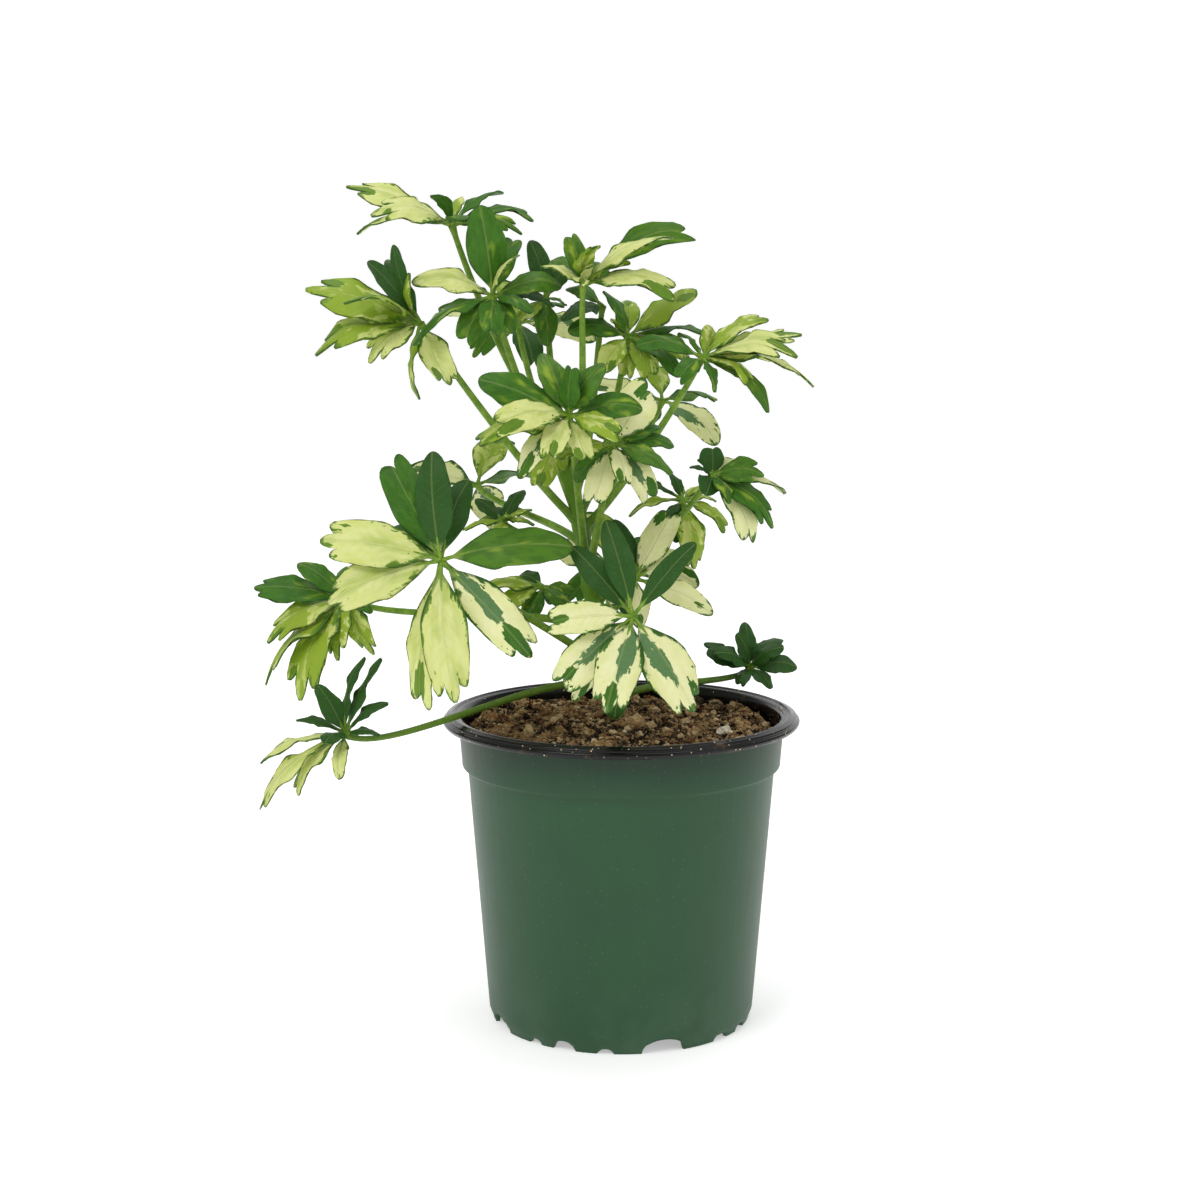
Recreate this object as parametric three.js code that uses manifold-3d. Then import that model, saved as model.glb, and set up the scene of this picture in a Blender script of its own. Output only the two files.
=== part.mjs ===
// Potted umbrella plant: a dwarf schefflera with cream and green leaves in a round nursery pot.
// Millimetres, +Z up. The origin is the middle of the pot's underside, on the surface it stands on.
import * as THREE from 'three';
import { mergeVertices } from 'three/addons/utils/BufferGeometryUtils.js';
import Module from 'manifold-3d';

const wasm = await Module();
wasm.setup();

// Driving dimensions of the pot
const POT_HEIGHT = 99.6;
const RIM_RADIUS = 57;
const FOOT_RADIUS = 41.7;
const TAPER = 0.08;
const WALL = 1.2;
const LIP_HEIGHT = 3.8;
const COLLAR_HEIGHT = 15.8;
const COLLAR_STEP = 1.7;
const FLOOR_HEIGHT = 5;
const CENTRE_PAD_RADIUS = 12;
const DRAIN_RADIUS = 4;
const DRAIN_HOLES = 3;
const ROUND_SIDES = 28;

// Arches between the pot's feet: the place of each round the foot in degrees, its width and height
const FOOT_ARCHES = [
  [8, 12, 4.2], [38, 5, 1.8], [62, 7, 3], [88, 13, 4.4], [120, 6, 2], [146, 12, 4.2], [176, 5, 2],
  [204, 11.5, 4.2], [230, 4.4, 1.6], [244.5, 7, 3], [263, 4.6, 1.6], [288, 13.8, 4.4],
  [318, 6, 2], [334, 5.6, 2.2]];

// Driving dimensions of the soil
const GAP = 0.3;
const SOIL_TOP = 95.2;
const SOIL_HILL = 1.6;
const SOIL_CRUMB = 0.7;
const SOIL_SHOULDER = 5;
const SOIL_SINK_RADIUS = 48.5;
const SOIL_LUMPS = 11;

// Driving dimensions of the plant
const STEM_PATH = [
  [-0.5, 4, 80], [-1.5, 4, 100], [-6, 2, 122], [-10, 1, 140],
  [-12, 0, 155], [-15, 0, 168], [-18, 0, 180], [-20, 0, 188]];
const STEM_FOOT_RADIUS = 3.6;
const STEM_TIP_RADIUS = 1.9;
const STEM_SIDES = 8;
const PETIOLE_FOOT_RADIUS = 1.4;
const PETIOLE_TIP_RADIUS = 0.85;
const PETIOLE_SIDES = 5;
const PETIOLE_STEPS = 5;
const HUB_RADIUS = 2.5;
const BLADE_THICKNESS = 0.8;
const STALK_THICKNESS = 1.1;
const STALK_SHARE = 0.13;
const STALK_WIDTH_SHARE = 0.06;
const ARCH = 0.16;
const CURL = 0.7;
const CURL_START = 0.55;
const FOLD = 0.12;
const WAVE = 0.03;
const TWIST = 0.4;
// Leaves whose hubs are above this height curl and twist this many times as much
const LIVELY_HEIGHT = 160;
const LIVELY = 1.5;
const MERGE = 0.05;

// How far a leaflet keeps from other leaves, and the bends it tries to get there
const CLEARANCE = 3.3;
const BEND_STEP = 7;
const BEND_RINGS = 4;
const BEND_DIRECTIONS = 8;
// Each try is a share of the full length and how far sister leaflets keep from each other
const TRIES = [[1, 2.2], [1, 1.2], [1, 0], [0.84, 0], [0.68, 0], [0.55, 0]];
const SAMPLES_ALONG = 9;
const SAMPLES_ACROSS = [-0.9, -0.45, 0, 0.45, 0.9];
const ROOT_SAMPLES = 3;

// Every leaf: its hub, the way it faces, the height it grows from on the stem, and its leaflets.
// A leaflet is its tip's reach from the hub in X, Y and Z, its width over its length, and its lobes.
const LEAVES = [
  { name: 'leaf_front_star', hub: [3, -50, 138], facing: [0, -0.9, 0.45], root: 118, full: 9,
    leaflets: [[-18, 8, 20, 0.3, 1], [-8, 10, 27, 0.3, 1], [18, 4, 22, 0.25, 1],
    [-26, -4, -1, 0.38, 2], [-26, -8, -14, 0.42, 2], [-8, -12, -27, 0.46, 3],
    [18, -10, -26, 0.46, 3], [-20, -8, -23, 0.22, 1], [-9, 3, -31, 0.26, 1]] },
  { name: 'leaf_front_left', hub: [-54, -45, 154], facing: [-0.15, -0.85, 0.5], root: 112, full: 10,
    leaflets: [[-16, 6, 30, 0.36, 2], [-2, 2, 32, 0.38, 1], [7, 9, 24, 0.36, 1],
    [-35, -4, 7, 0.4, 3], [-34, -9, -6, 0.4, 3], [-8, -8, -43, 0.23, 2], [5, -10, -41, 0.33, 3],
    [27, -8, -27, 0.34, 3], [39, -2, 5, 0.36, 1], [-16, 12, 9, 0.36, 1]] },
  { name: 'leaf_far_left', hub: [-86, -8, 137], facing: [-0.5, -0.4, 0.75], root: 124, full: 10,
    leaflets: [[-30, 3, 4, 0.38, 3], [-27, -5, -8, 0.42, 4], [-31, -7, -19, 0.4, 4],
    [-18, -10, -29, 0.44, 4], [-6, -12, -16, 0.5, 4], [7, -5, -17, 0.42, 4], [8, -4, -4, 0.44, 1],
    [-16, 8, 9, 0.4, 1]] },
  { name: 'leaf_trailing', hub: [-84, -38, 100], facing: [-0.3, -0.3, 0.9], root: 106, full: 11,
    leaflets: [[10, 4, 23, 0.2, 1], [4, 6, 23, 0.2, 1], [10, -3, 12, 0.26, 1], [9, -6, 5, 0.36, 1],
    [-15, 3, 5, 0.22, 1], [-7, 4, 15, 0.42, 1], [-5, -9, 0, 0.75, 1], [-26, -4, -5, 0.28, 3],
    [-26, -8, -21, 0.2, 2], [-19, -8, -11, 0.3, 2], [-2, -9, -11, 0.48, 1]] },
  { name: 'leaf_top_left', hub: [-53, 5, 253], facing: [-0.1, -0.45, 0.9], root: 187, full: 9,
    leaflets: [[-33, 4, 14, 0.34, 4], [-23, -12, 6, 0.46, 4], [-4, -10, 11, 0.3, 1],
    [15, 10, 12, 0.24, 1], [25, 6, 8, 0.24, 2], [21, -5, 2, 0.28, 4], [3, 14, 10, 0.34, 1],
    [-28, -4, 9, 0.34, 4]] },
  { name: 'leaf_upper_left', hub: [-40, -5, 231], facing: [0, -0.6, 0.8], root: 178, full: 12,
    leaflets: [[-4, -6, 28, 0.44, 1], [-23, -8, 7, 0.34, 1], [-25, -12, -10, 0.28, 1],
    [4, -9, 14, 0.46, 2], [7, 5, 20, 0.38, 2], [20, 2, 7, 0.42, 1], [19, 8, -1, 0.36, 1],
    [-12, 9, 3, 0.4, 1], [13, -8, -2, 0.4, 1]] },
  { name: 'leaf_left', hub: [-62, -10, 223], facing: [-0.35, -0.55, 0.75], root: 160, full: 12,
    leaflets: [[-34, -6, 12, 0.46, 4], [-12, -12, -13, 0.5, 4], [7, -12, -15, 0.5, 3],
    [12, -8, -9, 0.42, 2], [-32, -10, 3, 0.44, 4], [-23, -14, 0, 0.4, 4], [-17, 8, 20, 0.22, 1],
    [-13, 6, 24, 0.2, 1], [-5, 6, 24, 0.22, 1], [-3, -8, 15, 0.36, 1], [-4, -6, -22, 0.2, 1]] },
  { name: 'leaf_upper_centre', hub: [-12, -5, 234.5], facing: [0.1, -0.5, 0.85], root: 175, full: 11,
    leaflets: [[-4, 2, 16, 0.42, 2], [2, -8, 13, 0.5, 2], [32, 8, 22, 0.22, 2],
    [29, -2, 14, 0.32, 2], [28, -12, 2, 0.36, 2], [-11, -3, 8, 0.44, 1], [-16, 6, 6, 0.36, 1],
    [8, 17, 8, 0.36, 1], [13, -4, 9, 0.44, 2]] },
  { name: 'leaf_right', hub: [25, -5, 212], facing: [0.35, -0.35, 0.87], root: 158, full: 11,
    leaflets: [[31, 4, 9, 0.34, 4], [35, -4, -4, 0.32, 4], [28, -12, 0, 0.36, 4],
    [4, -10, -9, 0.34, 1], [15, -12, -4, 0.34, 2], [22, -10, -9, 0.24, 1], [-20, -4, 6, 0.36, 1],
    [-6, 7, 9, 0.4, 1], [20, 8, 12, 0.3, 2]] },
  { name: 'leaf_centre_front', hub: [-16, -35, 196], facing: [-0.1, -0.8, 0.6], root: 150, full: 12,
    leaflets: [[-26, -6, 12, 0.42, 1], [9, -2, 16, 0.54, 1], [-27, -10, 3, 0.42, 2],
    [-24, -12, -8, 0.36, 2], [-15, -12, -15, 0.34, 1], [21, 0, 5, 0.42, 1],
    [-6, -13, -12, 0.44, 2], [-6, 2, 20, 0.44, 1], [16, -9, -6, 0.42, 2]] },
  { name: 'leaf_centre_right', hub: [-3, -28, 187], facing: [0.1, -0.75, 0.65], root: 145, full: 12,
    leaflets: [[-6, -9, -17, 0.44, 2], [4, -10, -10, 0.46, 2], [11, -6, -16, 0.4, 2],
    [18, -6, -7, 0.38, 1], [20, 4, 1, 0.3, 1], [-16, -6, 4, 0.36, 1], [-13, -6, -7, 0.4, 1],
    [12, 8, 17, 0.62, 2], [-6, 4, 12, 0.44, 1]] },
  { name: 'leaf_right_front', hub: [28, -10, 176], facing: [0.25, -0.5, 0.8], root: 134, full: 10,
    leaflets: [[0, 2, 9, 0.9, 2], [-2, -9, -4, 0.8, 1], [15, -4, 3, 0.62, 4], [25, 2, -2, 0.24, 2],
    [20, -8, -12, 0.44, 4], [12, -9, -18, 0.36, 2], [8, -9, -6, 0.5, 1]] },
  { name: 'leaf_right_mid', hub: [20, 12, 166], facing: [0, -0.3, 0.95], root: 140, full: 10,
    leaflets: [[-14, 4, 7, 0.22, 1], [-18, 2, -1, 0.18, 1], [-8, -8, -7, 0.36, 1],
    [4, -6, -21, 0.46, 3], [15, -3, -7, 0.42, 2], [-4, 4, 10, 0.34, 1]] },
  { name: 'leaf_right_low', hub: [4, -12, 144], facing: [0.2, -0.8, 0.55], root: 126, full: 9,
    leaflets: [[12, 4, 21, 0.4, 2], [-4, 4, 19, 0.34, 1], [24, -8, -8, 0.3, 1],
    [2, -4, -15, 0.5, 1], [-8, -6, -8, 0.46, 1]] },
  { name: 'leaf_rim_right', hub: [43, 30, 108], facing: [0, -0.5, 0.85], root: 102, full: 9,
    leaflets: [[-15, -4, 8, 0.56, 2], [-15, -7, 1, 0.5, 1], [-1, 4, 15, 0.44, 1],
    [8, 2, 14, 0.5, 2], [12, -2, 8, 0.56, 1], [16, 2, 2, 0.54, 1], [8, -8, -4, 0.5, 1],
    [-4, -10, -4, 0.46, 2]] },
  { name: 'leaf_upper_right', hub: [2, 10, 218], facing: [0.1, -0.4, 0.9], root: 163, full: 11,
    leaflets: [[21, 0, 16, 0.48, 1], [30, 6, 2, 0.3, 2], [8, -10, -10, 0.5, 2],
    [-8, -10, -11, 0.5, 1], [14, -12, -15, 0.36, 1], [18, -8, -6, 0.46, 3], [-18, -6, 4, 0.46, 1],
    [-9, 4, 13, 0.5, 1]] },
  { name: 'leaf_dark_upper', hub: [-6, 12, 228], facing: [0.1, -0.7, 0.7], root: 169, full: 11,
    leaflets: [[18, 4, -3, 0.5, 1], [12, -10, -6, 0.66, 3], [-13, -8, -6, 0.56, 1],
    [2, 10, 14, 0.4, 1], [-10, 8, 8, 0.4, 1], [15, 6, 8, 0.44, 1]] },
  { name: 'leaf_dark_top', hub: [-24, 15, 230], facing: [0, -0.4, 0.9], root: 176, full: 9,
    leaflets: [[-9, -7, -6, 0.55, 1], [5, -7, -13, 0.5, 1], [4, 8, 14, 0.4, 1],
    [-6, 9, 17, 0.36, 1], [14, 6, 8, 0.44, 1], [-15, 3, 4, 0.44, 1]] },
  { name: 'leaf_behind_centre', hub: [-38, 15, 159], facing: [0, -0.4, 0.9], root: 148, full: 9,
    leaflets: [[-9, 4, 7, 0.5, 1], [6, 6, 10, 0.48, 1], [-13, -4, -1, 0.42, 2],
    [10, -6, 0, 0.36, 1], [-8, 12, 0, 0.4, 1]] },
  { name: 'leaf_under_centre', hub: [-25, 12, 138], facing: [0, -0.6, 0.8], root: 128, full: 8,
    leaflets: [[-6, -8, -10, 0.5, 1], [7, -7, -9, 0.5, 1], [-22, -6, 2, 0.34, 2],
    [-17, -9, -6, 0.38, 1], [2, 12, -6, 0.42, 1]] },
  { name: 'leaf_young', hub: [-20, -11, 187], facing: [0, -0.8, 0.5], root: 182, full: 7,
    leaflets: [[-6, -5, -14, 0.5, 2], [2, -6, -9, 0.46, 1], [-8, -2, 5, 0.4, 1]] },
];

// Leaves on the far side grow as even rings of leaflets about their hubs
const RING_LEAVES = [
  {
    name: 'leaf_back_left', hub: [-48, 44, 168], facing: [-0.3, 0.6, 0.7], root: 152,
    count: 5, reach: 30.5 },
  { name: 'leaf_back_right', hub: [14, 46, 196], facing: [0.2, 0.6, 0.75], root: 155, count: 5, reach: 27 },
  { name: 'leaf_back_low', hub: [-2, 52, 140], facing: [0.1, 0.8, 0.6], root: 120, count: 6, reach: 30 },
  { name: 'leaf_back_top', hub: [-34, 42, 222], facing: [0, 0.6, 0.8], root: 161, count: 6, reach: 27 }];
const FILL_LENGTH = 0.8;
const FILL_WIDTH = 0.46;
const RING_WIDTH = 0.4;
const RING_LIFT = 0.05;

// A blade's lobes: their edges across it from -1 to 1, and the notch floors and tops along it
// from 0 to 1. The rim is where the points of the blade's end lie.
const LOBES = {
  1: {
    edges: [-1, 1], floors: [0.72, 0.72], tops: [1],
    rim: [-1, -0.6, 0, 0.6, 1], smallRim: [-1, -0.35, 0.35, 1] },
  2: {
    edges: [-1, 0.12, 1], floors: [0.72, 0.88, 0.72], tops: [0.95, 1],
    rim: [-1, -0.7, -0.12, 0.12, 0.4, 0.82, 1], smallRim: [-1, -0.5, 0.12, 0.6, 1] },
  3: {
    edges: [-1, -0.34, 0.36, 1], floors: [0.7, 0.89, 0.87, 0.7], tops: [0.93, 1, 0.94],
    rim: [-1, -0.74, -0.34, -0.14, 0.16, 0.36, 0.76, 1],
    smallRim: [-1, -0.6, -0.34, 0, 0.36, 0.65, 1] },
  4: {
    edges: [-1, -0.34, 0.36, 1], floors: [0.6, 0.76, 0.74, 0.6], tops: [0.86, 1, 0.9],
    rim: [-1, -0.74, -0.34, -0.14, 0.16, 0.36, 0.76, 1],
    smallRim: [-1, -0.6, -0.34, 0, 0.36, 0.65, 1] } };
const BLADE_ROOT = 0.9;
const BLADE_ROWS = [0.34, 0.7];
const SMALL_LEAFLET = 27;
const SMALL_ROW = 0.62;

const POT_GREEN = 0x35594a;
const SOIL_BROWN = 0x4a3626;
const STEM_GREEN = 0x7d8f4a;
const LEAF_GREEN = 0x5f8f45;

const vector = (point) => new THREE.Vector3(...point);

// Solids and meshes

function solidFromGeometry(geometry) {
  const bare = geometry.clone();
  bare.deleteAttribute('normal');
  bare.deleteAttribute('uv');
  const merged = mergeVertices(bare, 1e-4);
  return solidFromArrays(merged.attributes.position.array, merged.index.array);
}

function solidFromArrays(positions, indices) {
  return new wasm.Manifold(new wasm.Mesh({
    numProp: 3, vertProperties: new Float32Array(positions), triVerts: new Uint32Array(indices) }));
}

function meshFromSolid(name, solid, color, roughness) {
  const data = solid.getMesh();
  const geometry = new THREE.BufferGeometry();
  geometry.setAttribute('position', new THREE.BufferAttribute(data.vertProperties, 3));
  geometry.setIndex(new THREE.BufferAttribute(data.triVerts, 1));
  const material = new THREE.MeshStandardMaterial({ color, roughness, metalness: 0 });
  const mesh = new THREE.Mesh(geometry, material);
  mesh.name = name;
  return mesh;
}

function union(solids) {
  return wasm.Manifold.union(solids);
}

// A profile of radius and height turned about the Z axis
function turned(profile) {
  const geometry = new THREE.LatheGeometry(profile.map(([r, z]) => new THREE.Vector2(r, z)), ROUND_SIDES);
  return geometry.rotateX(Math.PI / 2);
}

// A solid of the largest piece only, where a cut has left crumbs beside it
function largest(solid) {
  return solid.decompose().sort((a, b) => b.volume() - a.volume())[0];
}

// A rod along a curve whose radius runs evenly between its ends, with flat ends
function taperedRod(curve, startRadius, endRadius, steps, sides) {
  const frames = curve.computeFrenetFrames(steps, false);
  const positions = [];
  const indices = [];
  for (let i = 0; i <= steps; i++) {
    const centre = curve.getPointAt(i / steps);
    const radius = startRadius + (endRadius - startRadius) * i / steps;
    for (let k = 0; k < sides; k++) {
      const angle = 2 * Math.PI * k / sides;
      const spoke = frames.normals[i].clone().multiplyScalar(radius * Math.cos(angle));
      spoke.addScaledVector(frames.binormals[i], radius * Math.sin(angle));
      positions.push(...centre.clone().add(spoke));
    }
  }
  for (let i = 0; i < steps; i++) {
    for (let k = 0; k < sides; k++) {
      const a = i * sides + k;
      const b = i * sides + (k + 1) % sides;
      indices.push(a, b, b + sides, a, b + sides, a + sides);
    }
  }
  const last = steps * sides;
  for (let k = 1; k < sides - 1; k++) {
    indices.push(0, k + 1, k, last, last + k, last + k + 1);
  }
  return solidFromArrays(positions, indices);
}

// Pot

// The outside radius of the wall below the collar
function taper(z) {
  return FOOT_RADIUS + 1.1 + (z - 3) * TAPER;
}

function potProfile() {
  const lipFoot = POT_HEIGHT - LIP_HEIGHT;
  const collarFoot = POT_HEIGHT - COLLAR_HEIGHT;
  const collar = (z) => taper(collarFoot) + COLLAR_STEP + (z - collarFoot) * TAPER;
  const lipMiddle = RIM_RADIUS - 2.6;
  return [
    [CENTRE_PAD_RADIUS, 0], [CENTRE_PAD_RADIUS + 1.5, FLOOR_HEIGHT],
    [FOOT_RADIUS - WALL - 1.5, FLOOR_HEIGHT], [FOOT_RADIUS - WALL, 0],
    [FOOT_RADIUS, 0], [taper(3), 3], [taper(collarFoot - 3), collarFoot - 3],
    [taper(collarFoot) + 0.6, collarFoot - 1.4], [collar(collarFoot), collarFoot],
    [collar(lipFoot), lipFoot + 1.4], [RIM_RADIUS - 1.2, lipFoot], [RIM_RADIUS, lipFoot + 2.2],
    [lipMiddle, POT_HEIGHT], [collar(lipFoot) - WALL, lipFoot + 1.6],
    [collar(collarFoot) - WALL, collarFoot + 0.6], [taper(collarFoot) - WALL, collarFoot - 2.4],
    [taper(FLOOR_HEIGHT + WALL) - WALL, FLOOR_HEIGHT + WALL], [CENTRE_PAD_RADIUS + 2, FLOOR_HEIGHT + WALL],
    [CENTRE_PAD_RADIUS - 0.6, WALL]];
}

function archedNotch(width, height) {
  const half = width / 2;
  const shape = new THREE.Shape();
  shape.moveTo(-half, -1);
  shape.lineTo(half, -1);
  shape.lineTo(half, 0.6);
  shape.absellipse(0, 0.6, half, height - 0.6, 0, Math.PI, false);
  const arch = { depth: 8, bevelEnabled: false, curveSegments: height > 3.5 ? 4 : 3 };
  return new THREE.ExtrudeGeometry(shape, arch).rotateX(Math.PI / 2).translate(0, FOOT_RADIUS + 4, 0);
}

function buildPot() {
  const pot = turned([[0, 0], ...potProfile(), [0, WALL]]);
  const cuts = FOOT_ARCHES.map(([angle, width, height]) => {
    return solidFromGeometry(archedNotch(width, height)).rotate([0, 0, angle - 90]);
  });
  for (let i = 0; i < DRAIN_HOLES; i++) {
    const drain = new THREE.CylinderGeometry(DRAIN_RADIUS, DRAIN_RADIUS, 3 * WALL, 8);
    drain.rotateX(Math.PI / 2).translate(0, FOOT_RADIUS - 12, FLOOR_HEIGHT + WALL / 2);
    cuts.push(solidFromGeometry(drain).rotate([0, 0, 360 * i / DRAIN_HOLES + 20]));
  }
  return solidFromGeometry(pot).subtract(union(cuts));
}

// Soil

function soilTop(x, y) {
  const hill = SOIL_HILL * Math.cos(x / 17) * Math.cos((y + 6) / 15);
  const crumbs = SOIL_CRUMB * Math.sin(0.62 * x + 0.35 * y) * Math.sin(0.55 * y - 0.2 * x + 1.3);
  return SOIL_TOP + hill + crumbs;
}

function wallInside(z) {
  return taper(z) - WALL - GAP;
}

function buildSoil(stemHole) {
  const bottom = FLOOR_HEIGHT + WALL + GAP;
  const ledge = POT_HEIGHT - COLLAR_HEIGHT - 4;
  const rings = [1, 0.75, 0.5, 0.25].map((share) => [SOIL_SINK_RADIUS * share, SOIL_TOP]);
  const body = turned([
    [0, bottom], [wallInside(bottom), bottom], [wallInside(ledge), ledge],
    [SOIL_SINK_RADIUS + 1, SOIL_TOP - SOIL_SHOULDER], ...rings, [0, SOIL_TOP]]);
  const points = body.attributes.position;
  for (let i = 0; i < points.count; i++) {
    if (points.getZ(i) < SOIL_TOP - 0.01) continue;
    points.setZ(i, soilTop(points.getX(i), points.getY(i)));
  }
  const lumps = [];
  for (let i = 0; i < SOIL_LUMPS; i++) {
    const turn = 2.39996 * i;
    const reach = (SOIL_SINK_RADIUS - 5) * Math.sqrt((i + 1) / SOIL_LUMPS);
    const [x, y] = [reach * Math.cos(turn), reach * Math.sin(turn)];
    const lump = new THREE.IcosahedronGeometry(1.6 + 0.9 * Math.abs(Math.sin(3.1 * i)), 0);
    lump.scale(1, 0.8, 0.75).rotateZ(turn).translate(x, y, soilTop(x, y));
    lumps.push(solidFromGeometry(lump));
  }
  return union([solidFromGeometry(body), ...lumps]).subtract(stemHole);
}

// Stem

const stemCurve = new THREE.CatmullRomCurve3(STEM_PATH.map(vector));

function buildStem(extra = 0) {
  const steps = STEM_PATH.length + 2;
  return taperedRod(stemCurve, STEM_FOOT_RADIUS + extra, STEM_TIP_RADIUS + extra, steps, STEM_SIDES);
}

// The middle of the stem at a height
function stemAt(z) {
  const next = Math.max(1, STEM_PATH.findIndex((point) => point[2] >= z));
  const [low, high] = [vector(STEM_PATH[next - 1]), vector(STEM_PATH[next])];
  return low.lerp(high, (z - low.z) / (high.z - low.z));
}

// Leaves

function petioleCurve(leaf) {
  const start = stemAt(leaf.root);
  const end = vector(leaf.hub);
  const way = end.clone().sub(start);
  const length = way.length();
  const outward = new THREE.Vector3(way.x, way.y, 0).normalize().multiplyScalar(0.55);
  outward.z = 0.45 * Math.sign(way.z + 8);
  const inward = vector(leaf.facing).normalize().multiplyScalar(0.6);
  inward.addScaledVector(way.normalize(), 0.4);
  const rise = start.clone().addScaledVector(outward, 0.3 * length);
  const arrival = end.clone().addScaledVector(inward, -0.22 * length);
  return new THREE.CubicBezierCurve3(start, rise, arrival, end);
}

// How far along the leaflet its outer edge lies, for a place across it from -1 to 1
function reachAt(t, lobes) {
  const { edges, floors, tops } = LOBES[lobes];
  let j = 0;
  while (j < tops.length - 1 && t > edges[j + 1]) j++;
  const across = 2 * (t - edges[j]) / (edges[j + 1] - edges[j]) - 1;
  const floor = floors[j] + (floors[j + 1] - floors[j]) * (across + 1) / 2;
  return floor + (tops[j] - floor) * Math.sqrt(Math.max(0, 1 - across * across));
}

// The blade's half width as a share of its greatest, for a place along it from 0 to 1
function breadthAt(u, lobes) {
  if (u <= STALK_SHARE) return STALK_WIDTH_SHARE;
  const k = (u - STALK_SHARE) / (1 - STALK_SHARE);
  const rise = Math.sin(Math.PI / 2 * Math.min(1, k / 0.68)) ** 1.15;
  const fall = Math.max(0, (k - 0.68) / 0.32);
  const narrowing = 1 - (lobes > 1 ? 0.1 : 0.22) * fall * fall;
  return STALK_WIDTH_SHARE + (1 - STALK_WIDTH_SHARE) * rise * narrowing;
}

class Leaflet {
  constructor(hub, facing, tip, width, lobes, index) {
    this.hub = hub;
    this.tip = tip;
    this.lobes = lobes;
    this.index = index;
    this.mirror = index % 2 ? -1 : 1;
    this.length = tip.length();
    this.half = width * this.length / 2;
    this.side = tip.clone().cross(facing).normalize();
    const up = this.side.clone().cross(tip).normalize();
    const arch = ARCH * (0.5 + (0.618 * index) % 1);
    const lively = hub.z > LIVELY_HEIGHT ? LIVELY : 1;
    this.twist = lively * TWIST * Math.sin(2.4 * index);
    const curl = lively * CURL * (0.3 + (0.382 * index) % 1);
    this.control = tip.clone().multiplyScalar(0.5).addScaledVector(up, arch * this.length);
    this.droop = up.multiplyScalar(-curl * this.length);
  }

  // A point of the blade and the blade's upward direction there
  at(u, t) {
    const s = u * reachAt(this.mirror * t, this.lobes);
    const breadth = breadthAt(u, this.lobes);
    const past = Math.max(0, s - CURL_START);
    const along = this.control.clone().multiplyScalar(1 - 2 * s).addScaledVector(this.tip, s);
    along.addScaledVector(this.droop, past).normalize();
    const side = this.side.clone().applyAxisAngle(along, -this.twist * s);
    const normal = side.clone().cross(along);
    const ripple = Math.sin(9 * s + 1.7 * this.index + 1.5 * Math.sign(t));
    const wave = WAVE * this.length * (t * breadth) ** 2 * ripple;
    const fold = -FOLD * Math.abs(t) * this.half * breadth;
    const point = this.hub.clone().addScaledVector(this.control, 2 * (1 - s) * s);
    point.addScaledVector(this.tip, s * s).addScaledVector(this.droop, past * past);
    point.addScaledVector(side, t * this.half * breadth).addScaledVector(normal, wave + fold);
    return { point, normal };
  }

  solid() {
    if (this.length < SMALL_LEAFLET) return this.smallSolid();
    const places = [[0, BLADE_ROOT / this.length]];
    for (const u of BLADE_ROWS) places.push([-1, u], [0, u], [1, u]);
    const rim = this.rimPlaces('rim');
    const faces = [[0, 2, 1], [0, 3, 2]];
    const lastRow = 1 + 3 * (BLADE_ROWS.length - 1);
    for (let k = 1; k < lastRow; k++) {
      if ((k - 1) % 3 < 2) faces.push([k, k + 1, k + 3], [k + 1, k + 4, k + 3]);
    }
    faces.push(...this.tipFaces(lastRow, lastRow + 3, rim.length));
    return this.sheet([...places, ...rim], faces);
  }

  // A small leaflet has one row between its root and its lobed end
  smallSolid() {
    const rim = this.rimPlaces('smallRim');
    const places = [[0, BLADE_ROOT / this.length], [-1, SMALL_ROW], [1, SMALL_ROW], ...rim];
    const middle = Math.floor(rim.length / 2);
    const faces = [[0, 2, 1], [1, 2, 3 + middle]];
    for (let k = 0; k < rim.length - 1; k++) faces.push([k < middle ? 1 : 2, 4 + k, 3 + k]);
    return this.sheet(places, faces);
  }

  rimPlaces(kind) {
    return LOBES[this.lobes][kind].map((t) => this.mirror * t).sort((a, b) => a - b).map((t) => [t, 1]);
  }

  sheet(places, faces) {
    const points = places.map(([t, u], k) => {
      return { ...this.at(u, t), thickness: k === 0 ? STALK_THICKNESS : BLADE_THICKNESS };
    });
    return closedSheet(points, faces, boundaryOf(faces));
  }

  // Faces from the last three points across the blade to the points round its lobed end
  tipFaces(first, second, count) {
    const faces = [];
    const middle = Math.floor(count / 2);
    for (let k = 0; k < count - 1; k++) {
      const anchor = k < middle / 2 ? first : k < middle + middle / 2 ? first + 1 : first + 2;
      faces.push([anchor, second + k + 1, second + k]);
      const next = k + 1 < middle / 2 ? first : k + 1 < middle + middle / 2 ? first + 1 : first + 2;
      if (next !== anchor && k < count - 2) faces.push([anchor, next, second + k + 1]);
    }
    return faces;
  }

  samples() {
    const points = [];
    for (let i = 0; i < SAMPLES_ALONG; i++) {
      for (const t of SAMPLES_ACROSS) points.push(this.at(0.2 + 0.8 * i / (SAMPLES_ALONG - 1), t).point);
    }
    return points;
  }
}

// The open edges of a sheet of faces, each in its face's own direction
function boundaryOf(faces) {
  const edges = new Map();
  for (const [a, b, c] of faces) {
    for (const [p, q] of [[a, b], [b, c], [c, a]]) edges.set(`${p} ${q}`, [p, q]);
  }
  return [...edges.values()].filter(([p, q]) => !edges.has(`${q} ${p}`));
}

// A sheet given its thickness, both faces split into the same triangles
function closedSheet(points, faces, boundary) {
  const positions = [];
  for (const sign of [0.5, -0.5]) {
    for (const { point, normal, thickness } of points) {
      positions.push(...point.clone().addScaledVector(normal, sign * thickness));
    }
  }
  const under = points.length;
  const indices = [];
  for (const [a, b, c] of faces) indices.push(a, b, c, under + a, under + c, under + b);
  for (const [a, b] of boundary) indices.push(b, a, under + a, b, under + a, under + b);
  return solidFromArrays(positions, indices);
}

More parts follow.
